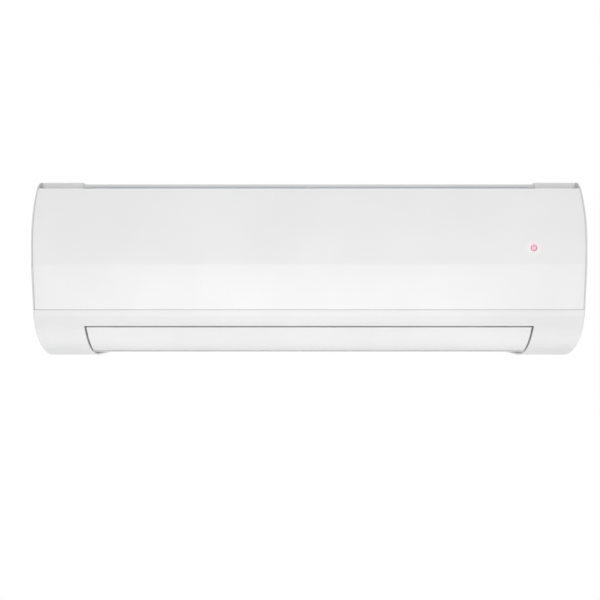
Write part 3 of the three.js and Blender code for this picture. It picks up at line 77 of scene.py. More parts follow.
GLOW_REACH = 13.0
LOUVRE_HALF = 343.0
LOUVRE_TOP = BOTTOM + 48.0
LOUVRE_BOTTOM = BOTTOM + 9.5
LOUVRE_WALL = 5.0
HINGE_X = 372.0
SIDES = ((-1, "left"), (1, "right"))


# ---------- camera ----------

camera_data = bpy.data.cameras.new("camera")
camera_data.lens = 39.6
camera_data.sensor_width = 36.0
camera = bpy.data.objects.new("camera", camera_data)
camera.location = (mm(-14), mm(-1180), mm(-47))
camera.rotation_euler = (radians(90), 0, 0)
bpy.context.scene.collection.objects.link(camera)
bpy.context.scene.camera = camera
bpy.context.scene.view_settings.view_transform = "Standard"


# ---------- materials ----------

class Nodes:
    """A material's node tree, with short calls for the nodes this scene uses."""

    SOCKETS = {
        "colour": "Base Color", "roughness": "Roughness", "metallic": "Metallic",
        "normal": "Normal", "coat": "Coat Weight", "coat_roughness": "Coat Roughness",
        "emission": "Emission Color", "strength": "Emission Strength",
    }

    def __init__(self, name):
        self.material = bpy.data.materials.new(name)
        self.material.use_nodes = True
        self.tree = self.material.node_tree
        self.shader = self.tree.nodes["Principled BSDF"]

    def add(self, kind, **values):
        node = self.tree.nodes.new(kind)
        for key, value in values.items():
            setattr(node, key, value)
        return node

    def link(self, source, target):
        self.tree.links.new(source, target)

    def place(self, scale=(1, 1, 1)):
        """Positions on the object, in metres, stretched by scale."""
        coordinates = self.add("ShaderNodeTexCoord")
        mapping = self.add("ShaderNodeMapping")
        mapping.inputs["Scale"].default_value = scale
        self.link(coordinates.outputs["Object"], mapping.inputs["Vector"])
        return mapping.outputs["Vector"]

    def noise(self, vector, scale, detail=3.0, roughness=0.5):
        node = self.add("ShaderNodeTexNoise")
        node.inputs["Scale"].default_value = scale
        node.inputs["Detail"].default_value = detail
        node.inputs["Roughness"].default_value = roughness
        self.link(vector, node.inputs["Vector"])
        return node.outputs["Fac"]

    def wave(self, vector, scale, direction, distortion=0.0, detail=2.0):
        node = self.add("ShaderNodeTexWave", wave_type="BANDS", bands_direction=direction)
        node.inputs["Scale"].default_value = scale
        node.inputs["Distortion"].default_value = distortion
        node.inputs["Detail"].default_value = detail
        self.link(vector, node.inputs["Vector"])
        return node.outputs["Fac"]

    def ramp(self, factor, stops):
        node = self.add("ShaderNodeValToRGB")
        ramp = node.color_ramp
        while len(ramp.elements) < len(stops):
            ramp.elements.new(0.5)
        for element, (place, colour) in zip(ramp.elements, stops):
            element.position = place
            element.color = (*colour, 1)
        self.link(factor, node.inputs["Fac"])
        return node.outputs["Color"]

    def spread(self, factor, low, high):
        """Turns a factor of about 0.3 to 0.7 into low to high."""
        node = self.add("ShaderNodeMapRange")
        node.inputs["From Min"].default_value = 0.3
        node.inputs["From Max"].default_value = 0.7
        node.inputs["To Min"].default_value = low
        node.inputs["To Max"].default_value = high
        self.link(factor, node.inputs["Value"])
        return node.outputs["Result"]

    def feed(self, socket, value):
        """Gives a socket a number, a colour or another node's output."""
        if isinstance(value, (int, float)):
            socket.default_value = value
        elif isinstance(value, tuple):
            socket.default_value = (*value, 1)
        else:
            self.link(value, socket)

    def maths(self, operation, *values):
        node = self.add("ShaderNodeMath", operation=operation)
        for socket, value in zip(node.inputs, values):
            self.feed(socket, value)
        return node.outputs["Value"]

    def bump(self, height, strength, distance, under=None):
        node = self.add("ShaderNodeBump")
        node.inputs["Strength"].default_value = strength
        node.inputs["Distance"].default_value = distance
        self.link(height, node.inputs["Height"])
        if under is not None:
            self.link(under, node.inputs["Normal"])
        return node.outputs["Normal"]

    def mix(self, factor, first, second):
        node = self.add("ShaderNodeMix", data_type="RGBA")
        self.feed(node.inputs["Factor"], factor)
        # the colour inputs and output of this node share their names with its other kinds
        self.feed(node.inputs[6], first)
        self.feed(node.inputs[7], second)
        return node.outputs[2]

    def set(self, **values):
        for key, value in values.items():
            self.feed(self.shader.inputs[self.SOCKETS[key]], value)


def moulded_plastic(name, colour, roughness, grain=0.00002, shade=0.015, coat=0.0):
    """Moulded plastic: a faint cloudy tone, very fine grain and an uneven sheen."""
    nodes = Nodes(name)
    place = nodes.place()
    clouds = nodes.noise(place, 9.0, 2.0)
    dark = tuple(c * (1 - shade) for c in colour)
    light = tuple(min(1.0, c * (1 + shade)) for c in colour)
    nodes.set(colour=nodes.ramp(clouds, [(0.35, dark), (0.65, light)]))
    uneven = nodes.noise(place, 60.0, 4.0)
    nodes.set(roughness=nodes.spread(uneven, roughness * 0.92, roughness * 1.08))
    fine = nodes.noise(place, 1800.0, 2.0)
    slow = nodes.noise(place, 22.0, 2.0)
    swell = nodes.bump(slow, 0.12, 0.0004)
    nodes.set(normal=nodes.bump(fine, 0.5, grain, swell))
    if coat:
        nodes.set(coat=coat, coat_roughness=0.12)
    return nodes


def brushed_metal(name, colour, roughness, along=(4, 900, 900)):
    """Sheet or drawn metal with fine lines along one way, and faint stains."""
    nodes = Nodes(name)
    lines = nodes.noise(nodes.place(along), 1.0, 4.0)
    stains = nodes.noise(nodes.place(), 30.0, 4.0)
    dark = tuple(c * 0.82 for c in colour)
    tone = nodes.ramp(stains, [(0.3, dark), (0.62, colour)])
    nodes.set(
        colour=tone,
        metallic=1.0,
        roughness=nodes.spread(lines, roughness * 0.8, roughness * 1.25),
        normal=nodes.bump(lines, 0.25, 0.00003),
    )
    return nodes


PANEL_TONE = (0.80, 0.80, 0.805)
SHELL_TONE = (0.775, 0.775, 0.78)
LOUVRE_TONE = (0.80, 0.80, 0.805)


def from_indicator(nodes, reach):
    """The distance from the indicator's centre, as a share of reach in millimetres."""
    split = nodes.add("ShaderNodeSeparateXYZ")
    nodes.link(nodes.place(), split.inputs["Vector"])
    across = nodes.maths("SUBTRACT", split.outputs["X"], mm(INDICATOR_X))
    up = nodes.maths("SUBTRACT", split.outputs["Z"], mm(INDICATOR_Z))
    square = nodes.maths("ADD", nodes.maths("MULTIPLY", across, across),
                         nodes.maths("MULTIPLY", up, up))
    return nodes.maths("MULTIPLY", nodes.maths("SQRT", square), 1 / mm(reach))


def panel_plastic():
    """The front panel's glossy plastic, with the indicator's glow spread in it."""
    nodes = moulded_plastic("panel_plastic", PANEL_TONE, 0.34, grain=0.000008, coat=0.25)
    far = from_indicator(nodes, GLOW_REACH)
    glow = nodes.ramp(far, [(0.45, (0.26, 0.11, 0.135)), (0.78, (0.03, 0.012, 0.015)),
                            (1.0, (0, 0, 0))])
    nodes.set(emission=glow, strength=0.6)
    return nodes.material


def indicator_window():
    """Milky plastic lit from behind, brightest at its middle."""
    nodes = moulded_plastic("indicator_window", (0.86, 0.70, 0.74), 0.3, grain=0.000006)
    far = from_indicator(nodes, LENS_RADIUS)
    tint = nodes.ramp(far, [(0.0, (0.80, 0.44, 0.53)), (0.5, (0.80, 0.46, 0.55)),
                            (1.0, (0.82, 0.70, 0.73))])
    glow = nodes.ramp(far, [(0.0, (0.22, 0.16, 0.17)), (0.6, (0.18, 0.13, 0.14)),
                            (1.0, (0.16, 0.12, 0.13))])
    nodes.set(colour=tint, emission=glow, strength=1.0)
    return nodes.material


def finned_block():
    """Aluminium fin block: fine upright plates edge on, some a little bent, with painted shade in
    the gaps between the plates.
    """
    nodes = Nodes("aluminium_fins")
    place = nodes.place()
    wave = nodes.wave(place, 190.0, "X", distortion=0.4, detail=1.0)
    stains = nodes.noise(place, 14.0, 4.0)
    # painted shade: the dark bands stand for the shaded gaps between the plates, the light bands
    # for the plates' edges
    fins_and_painted_gaps = nodes.ramp(wave, [(0.1, (0.16, 0.18, 0.2)), (0.55, (0.74, 0.77, 0.8))])
    nodes.set(
        colour=nodes.mix(nodes.spread(stains, 0.0, 0.25), fins_and_painted_gaps, (0.5, 0.52, 0.54)),
        metallic=0.85,
        roughness=0.38,
        normal=nodes.bump(wave, 0.8, 0.0006),
    )
    return nodes.material


def filter_net():
    """A woven nylon net with square meshes."""
    nodes = Nodes("filter_net")
    place = nodes.place()
    weave = nodes.maths("MAXIMUM", nodes.wave(place, 260.0, "X"), nodes.wave(place, 260.0, "Z"))
    dust = nodes.noise(place, 18.0, 4.0)
    threads = nodes.ramp(weave, [(0.4, (0.09, 0.1, 0.11)), (0.85, (0.40, 0.44, 0.48))])
    nodes.set(
        colour=nodes.mix(nodes.spread(dust, 0.0, 0.18), threads, (0.45, 0.44, 0.41)),
        roughness=0.75,
        normal=nodes.bump(weave, 0.7, 0.0003),
    )
    return nodes.material


def circuit_board():
    """Green solder mask over copper tracks, with tinned pads."""
    nodes = Nodes("circuit_board")
    place = nodes.place()
    tracks = nodes.add("ShaderNodeTexBrick")
    tracks.inputs["Scale"].default_value = 160.0
    tracks.inputs["Mortar Size"].default_value = 0.06
    tracks.inputs["Color1"].default_value = (0.02, 0.13, 0.06, 1)
    tracks.inputs["Color2"].default_value = (0.025, 0.16, 0.07, 1)
    tracks.inputs["Mortar"].default_value = (0.06, 0.26, 0.11, 1)
    turned = nodes.add("ShaderNodeMapping")
    turned.inputs["Rotation"].default_value = (radians(90), 0, 0)
    nodes.link(place, turned.inputs["Vector"])
    nodes.link(turned.outputs["Vector"], tracks.inputs["Vector"])
    cells = nodes.add("ShaderNodeTexVoronoi")
    cells.inputs["Scale"].default_value = 210.0
    nodes.link(place, cells.inputs["Vector"])
    pads = nodes.ramp(cells.outputs["Distance"], [(0.10, (1, 1, 1)), (0.16, (0, 0, 0))])
    nodes.set(
        colour=nodes.mix(pads, tracks.outputs["Color"], (0.62, 0.62, 0.6)),
        roughness=0.35,
        normal=nodes.bump(tracks.outputs["Fac"], 0.3, 0.0001),
    )
    return nodes.material


def glowing(name, colour, strength):
    """A lit translucent plastic with a faint unevenness."""
    nodes = moulded_plastic(name, colour, 0.3, grain=0.00001, shade=0.03)
    nodes.set(emission=colour, strength=strength)
    return nodes.material


MATERIALS = {
    "shell": moulded_plastic("shell_plastic", SHELL_TONE, 0.36, grain=0.00001,
                             coat=0.15).material,
    "panel": panel_plastic(),
    "louvre": moulded_plastic("louvre_plastic", LOUVRE_TONE, 0.36, grain=0.00001,
                              coat=0.15).material,
    "window": indicator_window(),
    "inner": moulded_plastic("inner_plastic", (0.63, 0.64, 0.655), 0.5, grain=0.00004).material,
    "dark": moulded_plastic("dark_plastic", (0.045, 0.047, 0.052), 0.5, shade=0.1).material,
    "fan": moulded_plastic("fan_plastic", (0.03, 0.032, 0.036), 0.42, shade=0.12).material,
    "filter": filter_net(),
    "filter_frame": moulded_plastic("filter_frame", (0.42, 0.47, 0.52), 0.5, shade=0.03).material,
    "zinc": brushed_metal("galvanised_steel", (0.6, 0.62, 0.64), 0.38).material,
    "fins_and_painted_gaps": finned_block(),
    "copper": brushed_metal("copper_tube", (0.82, 0.42, 0.26), 0.28).material,
    "brass": brushed_metal("brass", (0.8, 0.6, 0.28), 0.26).material,
    "board": circuit_board(),
    "rubber": moulded_plastic("rubber", (0.022, 0.022, 0.024), 0.75, grain=0.00006,
                              shade=0.25).material,
    "lens": glowing("lens_plastic", (0.95, 0.78, 0.82), 0.12),
    "ring": glowing("indicator_ring", (0.47, 0.25, 0.32), 0.04),
}

NODE_LOOKS = {
    "shell": ["front_casing", "screw_cap_left", "screw_cap_right"],
    "inner": [
        "rear_chassis", "drain_tray", "pipe_clamp", "motor_clamp", "louvre_support",
        "vane_link_left", "vane_link_right", "control_box", "control_box_cover",
        "emergency_button", "display_housing",
    ] + [f"vane_{bank}_{i}" for bank in ("left", "right") for i in range(1, 6)],
    "dark": ["terminal_block", "capacitor", "push_switch", "remote_receiver"],
    "fan": ["fan_wheel"],
    "filter": ["filter_left", "filter_right"],
    "zinc": [
        "wall_plate", "fan_motor", "motor_shaft", "louvre_motor", "relay",
        "motor_screw_front", "motor_screw_rear", "casing_screw_left", "casing_screw_right",
    ],
    "fins_and_painted_gaps": ["coil_front_lower", "coil_front_upper", "coil_rear"],
    "copper": ["gas_pipe", "liquid_pipe"],
    "brass": ["gas_flare_nut", "liquid_flare_nut", "fan_bearing"],
    "board": ["main_board", "display_board"],
    "rubber": ["bearing_rubber"],
    "lens": ["power_light"],
}

for look, names in NODE_LOOKS.items():
    for name in names:
        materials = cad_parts[name].data.materials
        materials.clear()
        materials.append(MATERIALS[look])


# ---------- smooth shading for the CAD's own pieces ----------

def smooth_by_angle(angle):
    """A node group that shades smooth, apart from edges sharper than the angle."""
    group = bpy.data.node_groups.new("smooth_by_angle", "GeometryNodeTree")
    group.interface.new_socket("Geometry", in_out="INPUT", socket_type="NodeSocketGeometry")
    group.interface.new_socket("Geometry", in_out="OUTPUT", socket_type="NodeSocketGeometry")
    source = group.nodes.new("NodeGroupInput")
    result = group.nodes.new("NodeGroupOutput")
    bend = group.nodes.new("GeometryNodeInputMeshEdgeAngle")
    sharp = group.nodes.new("FunctionNodeCompare")
    sharp.data_type = "FLOAT"
    sharp.operation = "LESS_THAN"
    sharp.inputs["B"].default_value = angle
    faces = group.nodes.new("GeometryNodeSetShadeSmooth")
    edges = group.nodes.new("GeometryNodeSetShadeSmooth")
    edges.domain = "EDGE"
    group.links.new(source.outputs[0], faces.inputs["Geometry"])
    group.links.new(faces.outputs["Geometry"], edges.inputs["Geometry"])
    group.links.new(bend.outputs["Unsigned Angle"], sharp.inputs["A"])
    group.links.new(sharp.outputs["Result"], edges.inputs["Shade Smooth"])
    group.links.new(edges.outputs["Geometry"], result.inputs[0])
    return group


SMOOTHING = smooth_by_angle(radians(32))


def smoothed(piece, group=SMOOTHING):
    piece.modifiers.new("smooth", "NODES").node_group = group


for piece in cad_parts.values():
    smoothed(piece)


# ---------- meshes ----------

def new_piece(name, vertices, faces, material):
    """A mesh piece from millimetre points, with its faces turned outwards."""
    mesh = bpy.data.meshes.new(name)
    mesh.from_pydata([tuple(mm(c) for c in v) for v in vertices], [], faces)
    mesh.materials.append(MATERIALS[material])
    shape = bmesh.new()
    shape.from_mesh(mesh)
    bmesh.ops.recalc_face_normals(shape, faces=shape.faces)
    shape.to_mesh(mesh)
    shape.free()
    piece = bpy.data.objects.new(name, mesh)
    bpy.context.scene.collection.objects.link(piece)
    return piece


def joined(name, pieces):
    """One piece from several; the first one's material stays."""
    shape = bmesh.new()
    for piece in pieces:
        shape.from_mesh(piece.data)
    mesh = pieces[0].data
    shape.to_mesh(mesh)
    shape.free()
    for piece in pieces[1:]:
        bpy.data.objects.remove(piece)
    pieces[0].name = name
    return pieces[0]


def settle(piece, body, slot, *nodes, angle=None):
    """Gives a piece its shading and body, and puts it in place of the named nodes. The slot is not
    used.
    """
    smoothed(piece, SMOOTHING if angle is None else smooth_by_angle(angle))
    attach(piece, body)
    if nodes:
        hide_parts(*nodes)


# ---------- the side profile ----------

def arc(centre, radius, start, end, steps):
    """Points and outward normals along an arc, angles in degrees."""
    result = []
    for i in range(steps + 1):
        angle = radians(start + (end - start) * i / steps)
        normal = (cos(angle), sin(angle))
        point = (centre[0] + radius * normal[0], centre[1] + radius * normal[1])
        result.append((point, normal))
    return result


BROW_ANGLE = 180 - degrees(asin((PANEL_TOP - BROW_CENTRE[1]) / BROW_RADIUS))
FACET_NORMAL = (-cos(FACET_TILT), -sin(FACET_TILT))


def panel_profile():
    """Points and outward normals from the panel's lower edge to its upper edge."""
    fillet = 0.7
    foot = (FACET_END_Y + FOOT_DROP * tan(FACET_TILT), PANEL_FOOT)
    below = (FRONT + fillet * sin(FACET_TILT), CREASE - fillet * cos(FACET_TILT))
    above = (FRONT, CREASE + fillet)
    profile = []
    rows = 6
    for i in range(rows + 1):
        share = i / rows
        point = (foot[0] + (below[0] - foot[0]) * share, foot[1] + (below[1] - foot[1]) * share)
        profile.append((point, FACET_NORMAL))
    middle = FACET_TILT / 2
    inset = fillet * tan(middle) / 4
    profile.append(((FRONT + inset, CREASE), (-cos(middle), -sin(middle))))
    profile.append((above, (-1.0, 0.0)))
    profile.append(((FRONT, (CREASE + BROW_CENTRE[1]) / 2), (-1.0, 0.0)))
    return profile + arc(BROW_CENTRE, BROW_RADIUS, BROW_ANGLE, 180, 30)[::-1]


def sheet_faces(width, height):
    """Faces of a closed sheet: a grid of outer points, one of inner points, and the rim."""
    layer = width * height
    corners = [row * width + column for row in range(height - 1) for column in range(width - 1)]
    faces = [(a, a + 1, a + width + 1, a + width) for a in corners]
    faces += [(layer + a, layer + a + width, layer + a + width + 1, layer + a + 1)
              for a in corners]
    rim = list(range(width))
    rim += [row * width + width - 1 for row in range(1, height)]
    rim += [(height - 1) * width + column for column in range(width - 2, -1, -1)]
    rim += [row * width for row in range(height - 2, 0, -1)]
    for a, b in zip(rim, rim[1:] + rim[:1]):
        faces.append((a, layer + a, layer + b, b))
    return faces


def moulded_sheet(name, profile, half, wall, edge, material, columns):
    """A curved sheet along X with rounded edges all round: outer skin, rim and inner skin."""
    steps = 5
    # each entry: the distance from the sheet's end, and how deep the skin lies there
    curl = [(edge * (1 - sin(radians(90 * i / steps))), edge * (1 - cos(radians(90 * i / steps))))
            for i in range(steps, -1, -1)]
    lengths = [0.0]
    for (a, _), (b, _) in zip(profile, profile[1:]):
        lengths.append(lengths[-1] + sqrt((b[0] - a[0]) ** 2 + (b[1] - a[1]) ** 2))
    total = lengths[-1]

    def at(distance):
        """The point and outward normal at a distance along the profile."""
        for i in range(len(lengths) - 1):
            if distance <= lengths[i + 1] + 1e-9:
                span = lengths[i + 1] - lengths[i]
                share = (distance - lengths[i]) / span if span else 0.0
                (a, na), (b, nb) = profile[i], profile[i + 1]
                normal = (na[0] + (nb[0] - na[0]) * share, na[1] + (nb[1] - na[1]) * share)
                size = sqrt(normal[0] ** 2 + normal[1] ** 2)
                return ((a[0] + (b[0] - a[0]) * share, a[1] + (b[1] - a[1]) * share),
                        (normal[0] / size, normal[1] / size))
        return profile[-1]

    rows = [*curl, *((d, 0.0) for d in lengths if edge * 1.01 < d < total - edge * 1.01),
            *((total - gap, sink) for gap, sink in reversed(curl))]
    flat = half - edge
    across = [*((-half + gap, sink) for gap, sink in curl),
              *((-flat + 2 * flat * i / columns, 0.0) for i in range(1, columns)),
              *((half - gap, sink) for gap, sink in reversed(curl))]

    outer, inner = [], []
    for distance, row_sink in rows:
        point, normal = at(distance)
        for x, column_sink in across:
            if row_sink and column_sink:
                # where two rounded edges meet, the depth lies between theirs
                sink = edge - sqrt((edge - row_sink) * (edge - column_sink))
            else:
                sink = max(row_sink, column_sink)
            outer.append((x, point[0] - normal[0] * sink, point[1] - normal[1] * sink))
            inner.append((x, point[0] - normal[0] * wall, point[1] - normal[1] * wall))
    return new_piece(name, outer + inner, sheet_faces(len(across), len(rows)), material)


def prism(name, outline, start, end, material):
    """A solid along X from its outline in y and z."""
    count = len(outline)
    vertices = [(start, y, z) for y, z in outline] + [(end, y, z) for y, z in outline]
    faces = [tuple(range(count)), tuple(range(count, 2 * count))]
    for i in range(count):
        j = (i + 1) % count
        faces.append((i, j, count + j, count + i))
    return new_piece(name, vertices, faces, material)


def bevelled(piece, width):
    """Rounds a piece's hard edges a little, by width millimetres."""
    modifier = piece.modifiers.new("round_edges", "BEVEL")
    modifier.width = mm(width)
    modifier.segments = 2
    modifier.limit_method = "ANGLE"
    modifier.angle_limit = radians(40)
    return piece


def baked(piece):
    """The piece with its modifiers made part of its mesh."""
    bpy.context.view_layer.update()
    graph = bpy.context.evaluated_depsgraph_get()
    mesh = bpy.data.meshes.new_from_object(piece.evaluated_get(graph))
    piece.modifiers.clear()
    piece.data = mesh
    return piece


def cut(piece, cutter):
    """Takes the cutter's shape out of a piece."""
    modifier = piece.modifiers.new("cut", "BOOLEAN")
    modifier.operation = "DIFFERENCE"
    modifier.solver = "EXACT"
    modifier.object = cutter
    baked(piece)
    bpy.data.objects.remove(cutter)


def box_piece(name, x, y, z, material):
    return prism(name, [(y[0], z[0]), (y[1], z[0]), (y[1], z[1]), (y[0], z[1])], *x, material)


def circle(radius, sides):
    """The two offsets of each point on a circle."""
    return [(radius * cos(2 * pi * i / sides), radius * sin(2 * pi * i / sides))
            for i in range(sides)]


def band(first, second, sides):
    """Faces between two rings of points, given the rings' first points."""
    return [(first + i, first + (i + 1) % sides, second + (i + 1) % sides, second + i)
            for i in range(sides)]


def rod_piece(name, radius, x, centre, material, sides=28):
    """A round pin along X with a small chamfer at each end."""
    chamfer = min(0.35, radius / 4)
    rings = [(x[0], radius - chamfer), (x[0] + chamfer, radius),
             (x[1] - chamfer, radius), (x[1], radius - chamfer)]
    vertices = [(place, centre[0] + a, centre[1] + b)
                for place, size in rings for a, b in circle(size, sides)]
    faces = [face for ring in range(3) for face in band(ring * sides, (ring + 1) * sides, sides)]
    faces += [tuple(range(sides)), tuple(range(3 * sides, 4 * sides))]
    return new_piece(name, vertices, faces, material)


def tube_piece(name, inner, outer, x, centre, material, sides=48):
    """A ring or tube along X with its outer edges chamfered."""
    chamfer = 0.3
    rings = [(x[0], inner), (x[0], outer - chamfer), (x[0] + chamfer, outer),
             (x[1] - chamfer, outer), (x[1], outer - chamfer), (x[1], inner)]
    vertices = [(place, centre[0] + a, centre[1] + b)
                for place, size in rings for a, b in circle(size, sides)]
    faces = [face for ring in range(6)
             for face in band(ring * sides, (ring + 1) % 6 * sides, sides)]
    return new_piece(name, vertices, faces, material)


def disc_piece(name, radius, x, z, front, back, material, rim=0.3, sides=64):
    """A round plug along Y with a rounded front edge."""
    steps = 4
    rings = [(radius - rim + rim * sin(radians(90 * i / steps)),
              front + rim * (1 - cos(radians(90 * i / steps)))) for i in range(steps + 1)]
    rings.append((radius, back))
    vertices = [(x + a, depth, z + b) for size, depth in rings for a, b in circle(size, sides)]
    last = len(rings) - 1
    faces = [face for ring in range(last)
             for face in band(ring * sides, (ring + 1) * sides, sides)]
    faces += [tuple(range(sides)), tuple(range(last * sides, (last + 1) * sides))]
    return new_piece(name, vertices, faces, material)


def points_of(entries):
    return [point for point, _ in entries]


# ---------- the front panel ----------

HINGE_AXIS = (-149.4106, 123.0)
PANEL_TOP_Y = HINGE_AXIS[0] - 8.0
CLIP_X = 250.0
CLIP_Y = FACET_END_Y - 6.0 * tan(FACET_TILT)


def on_both_sides(make):
    """Makes a piece for each end of the unit: make gets -1 for the left and 1 for the right."""
    return [make(side) for side in (-1, 1)]


def ordered(first, second):
    return (min(first, second), max(first, second))


panel = moulded_sheet("panel_skin", panel_profile(), PANEL_HALF, PANEL_WALL, PANEL_EDGE,
                      "panel", 48)
cut(panel, disc_piece("hole", LENS_RADIUS + LENS_GAP, INDICATOR_X, INDICATOR_Z,
                      FRONT - 10, FRONT + 10, "panel"))
settle(panel, "panel", "panel_white", "front_panel", angle=radians(20))


def hinge_arm(side):
    """An arm that leaves the panel's upper edge and ends round the pin."""
    outline = [
        (PANEL_TOP_Y + 1.25, PANEL_TOP - 1.25),
        (PANEL_TOP_Y - 4.0, PANEL_TOP - 14.0),
        (PANEL_TOP_Y + 1.0, PANEL_TOP - 14.0),
        *points_of(arc(HINGE_AXIS, 3.6, -80, 110, 16)),
    ]
    start, end = ordered(side * (HINGE_X - 1.8), side * (HINGE_X + 3.0))
    arm = bevelled(prism("hinge_arm", outline, start, end, "panel"), 0.4)
    return baked(arm)


def hinge_pin(side):
    return rod_piece("hinge_pin", 2.0, ordered(side * (HINGE_X - 7), side * HINGE_X),
                     HINGE_AXIS, "panel")


def snap_clip(side):
    """A small catch behind the panel's lower edge."""
    clip = box_piece("clip", (side * CLIP_X - 7, side * CLIP_X + 7), (CLIP_Y + 1, CLIP_Y + 8),
                     (PANEL_BOTTOM + 4.5, PANEL_BOTTOM + 7.5), "panel")
    return baked(bevelled(clip, 0.6))


def panel_rib(side):
    """A rib inside the panel that keeps its thin sheet stiff."""
    half_length, foot, thickness = 60, 26.0, 1.2
    rib = box_piece("rib", (side * CLIP_X - half_length, side * CLIP_X + half_length),
                    (FRONT + 1.5, FRONT + 4.0), (foot, foot + thickness), "panel")
    return baked(bevelled(rib, 0.3))


for side, end in SIDES:
    arm = joined(f"panel_arm_{end}", [hinge_arm(side), hinge_pin(side)])
    settle(arm, "panel", "panel_white", f"hinge_arm_{end}")
settle(joined("panel_clips", on_both_sides(snap_clip)), "panel", "panel_white")
settle(joined("panel_ribs", on_both_sides(panel_rib)), "panel", "panel_white")


# ---------- the indicator ----------

lens = disc_piece("indicator_window", LENS_RADIUS, INDICATOR_X, INDICATOR_Z,
                  FRONT + 0.1, FRONT + 1.6, "window", rim=0.15)
settle(lens, "panel", "indicator_pink", "indicator_lens")


def power_mark():
    """A ring open at its top, with a short bar in the opening."""
    inner, outer, opening = 3.3, 4.9, 32
    count = 48
    outline = []
    for radius, span in ((outer, range(count + 1)), (inner, range(count, -1, -1))):
        for i in span:
            angle = radians(90 + opening + (360 - 2 * opening) * i / count)
            outline.append((INDICATOR_X + radius * cos(angle), INDICATOR_Z + radius * sin(angle)))
    total = len(outline)
    front, back = FRONT + 0.02, FRONT + 0.5
    vertices = [(x, front, z) for x, z in outline] + [(x, back, z) for x, z in outline]
    faces = []
    for i in range(count):
        j = total - 1 - i
        faces.append((i, i + 1, j - 1, j))
        faces.append((total + i, total + j, total + j - 1, total + i + 1))
    for i in range(total):
        j = (i + 1) % total
        faces.append((i, j, total + j, total + i))
    ring = new_piece("ring", vertices, faces, "ring")
    bar = box_piece("bar", (INDICATOR_X - 0.75, INDICATOR_X + 0.75), (front, back),
                    (INDICATOR_Z + 1.0, INDICATOR_Z + outer + 0.5), "ring")
    return joined("power_mark", [ring, bar])


settle(power_mark(), "panel", "indicator_pink")


# ---------- the louvre ----------

LOUVRE_AXIS = (-130.0525, -109.0018)


def belly_angle(z):
    return 180 + degrees(asin((BELLY_CENTRE[1] - z) / BELLY_RADIUS))


def on_belly(z, depth=0.0):
    radius = BELLY_RADIUS - depth
    return (BELLY_CENTRE[0] - sqrt(radius ** 2 - (BELLY_CENTRE[1] - z) ** 2), z)


def louvre_profile():
    """The blade's outside from top to bottom, with a fine groove just above its lower edge."""
    groove_top, groove_foot, depth = 1.5, 0.3, 1.3
    foot = LOUVRE_BOTTOM
    main = arc(BELLY_CENTRE, BELLY_RADIUS, belly_angle(LOUVRE_TOP),
               belly_angle(foot + groove_top), 26)
    floor = []
    for height in (groove_top - 0.15, groove_foot + 0.15):
        floor.append((on_belly(foot + height, depth), main[-1][1]))
    lip = [(on_belly(foot + groove_foot), main[-1][1]), (on_belly(foot), main[-1][1])]
    return main + floor + lip


louvre = moulded_sheet("louvre_skin", louvre_profile(), LOUVRE_HALF, LOUVRE_WALL, 0.8,
                       "louvre", 40)
settle(louvre, "louvre_blade", "louvre_white", "louvre", angle=radians(28))


def louvre_arm(start):
    def make(side):
        outline = [
            on_belly(LOUVRE_AXIS[1] + 9, LOUVRE_WALL - 1),
            on_belly(LOUVRE_AXIS[1] - 5, LOUVRE_WALL - 1),
            *points_of(arc(LOUVRE_AXIS, 4.0, -60, 120, 14)),
        ]
        low, high = ordered(side * start, side * (start + 3))
        return baked(bevelled(prism("arm", outline, low, high, "louvre"), 0.3))
    return make


def louvre_pin(start, end):
    return lambda side: rod_piece("pin", 2.0, ordered(side * start, side * end), LOUVRE_AXIS,
                                  "louvre")


louvre_arms = []
for make in (louvre_arm(LOUVRE_HALF - 3), louvre_arm(3.2), louvre_pin(342, 356.5),
             louvre_pin(0, 4.2)):
    louvre_arms += on_both_sides(make)
settle(joined("louvre_arms", louvre_arms), "louvre_blade", "louvre_white")


# ---------- the intake grille ----------

GRILLE_HALF = RAISED_INNER - 0.5
GRILLE_TOP = TOP - 2.5
GRILLE_LIP = 129.0


def intake_grille():
    """A rim with long slats that lean back, and cross ribs under them."""
    top, low = GRILLE_TOP, GRILLE_TOP - 3.0
    rim = 6.0
    front, back = TOP_FRONT, BACK
    lip = [(front, GRILLE_LIP), (front + 2.5, GRILLE_LIP), (front + 2.5, low),
           (front + rim, low), (front + rim, top), (front, top)]
    across = (-GRILLE_HALF, GRILLE_HALF)
    parts = [
        prism("lip", lip, *across, "shell"),
        box_piece("rim", across, (back - rim, back), (low, top), "shell"),
    ]
    for side in (-1, 1):
        ends = ordered(side * (GRILLE_HALF - 0.05), side * (GRILLE_HALF - rim))
        parts.append(box_piece("rim", ends, (front + 3, back - 1), (low + 0.05, top - 0.05),
                               "shell"))
    ribs = 12
    for i in range(1, ribs):
        x = -GRILLE_HALF + 2 * GRILLE_HALF * i / ribs
        parts.append(box_piece("rib", (x - 1.1, x + 1.1), (front + 3, back - 3),
                               (low, top - 0.7), "shell"))
    slats = 20
    for i in range(slats):
        y = front + rim + (back - front - 2 * rim) * (i + 0.5) / slats
        outline = [(y - 1.6, low + 0.2), (y - 0.2, low + 0.2), (y + 1.5, top - 0.1),
                   (y + 0.1, top - 0.1)]
        parts.append(prism("slat", outline, -GRILLE_HALF + 3, GRILLE_HALF - 3, "shell"))
    return joined("grille_slats", [baked(bevelled(part, 0.35)) for part in parts])


settle(intake_grille(), "unit", "casing_white", "intake_grille")


# ---------- the filters ----------

FILTER_TILT = radians(5.4)
FILTER_FOOT = (FACET_END_Y + 9.14, PANEL_BOTTOM + 12.0)
FILTER_RISE = (1.0, 178.99)
FILTER_INNER = 4.5
FILTER_OUTER = 341.5
FILTER_HALF_WALL = 1.3
FILTER_BAYS = (8, 5)
NET_HALF_WALL = 0.25
NET_WAVE = 0.45


def on_filter(rise, behind):
    """A point in the filters' plane, or off it towards the back."""
    return (FILTER_FOOT[0] + rise * sin(FILTER_TILT) + behind * cos(FILTER_TILT),
            FILTER_FOOT[1] + rise * cos(FILTER_TILT) - behind * sin(FILTER_TILT))


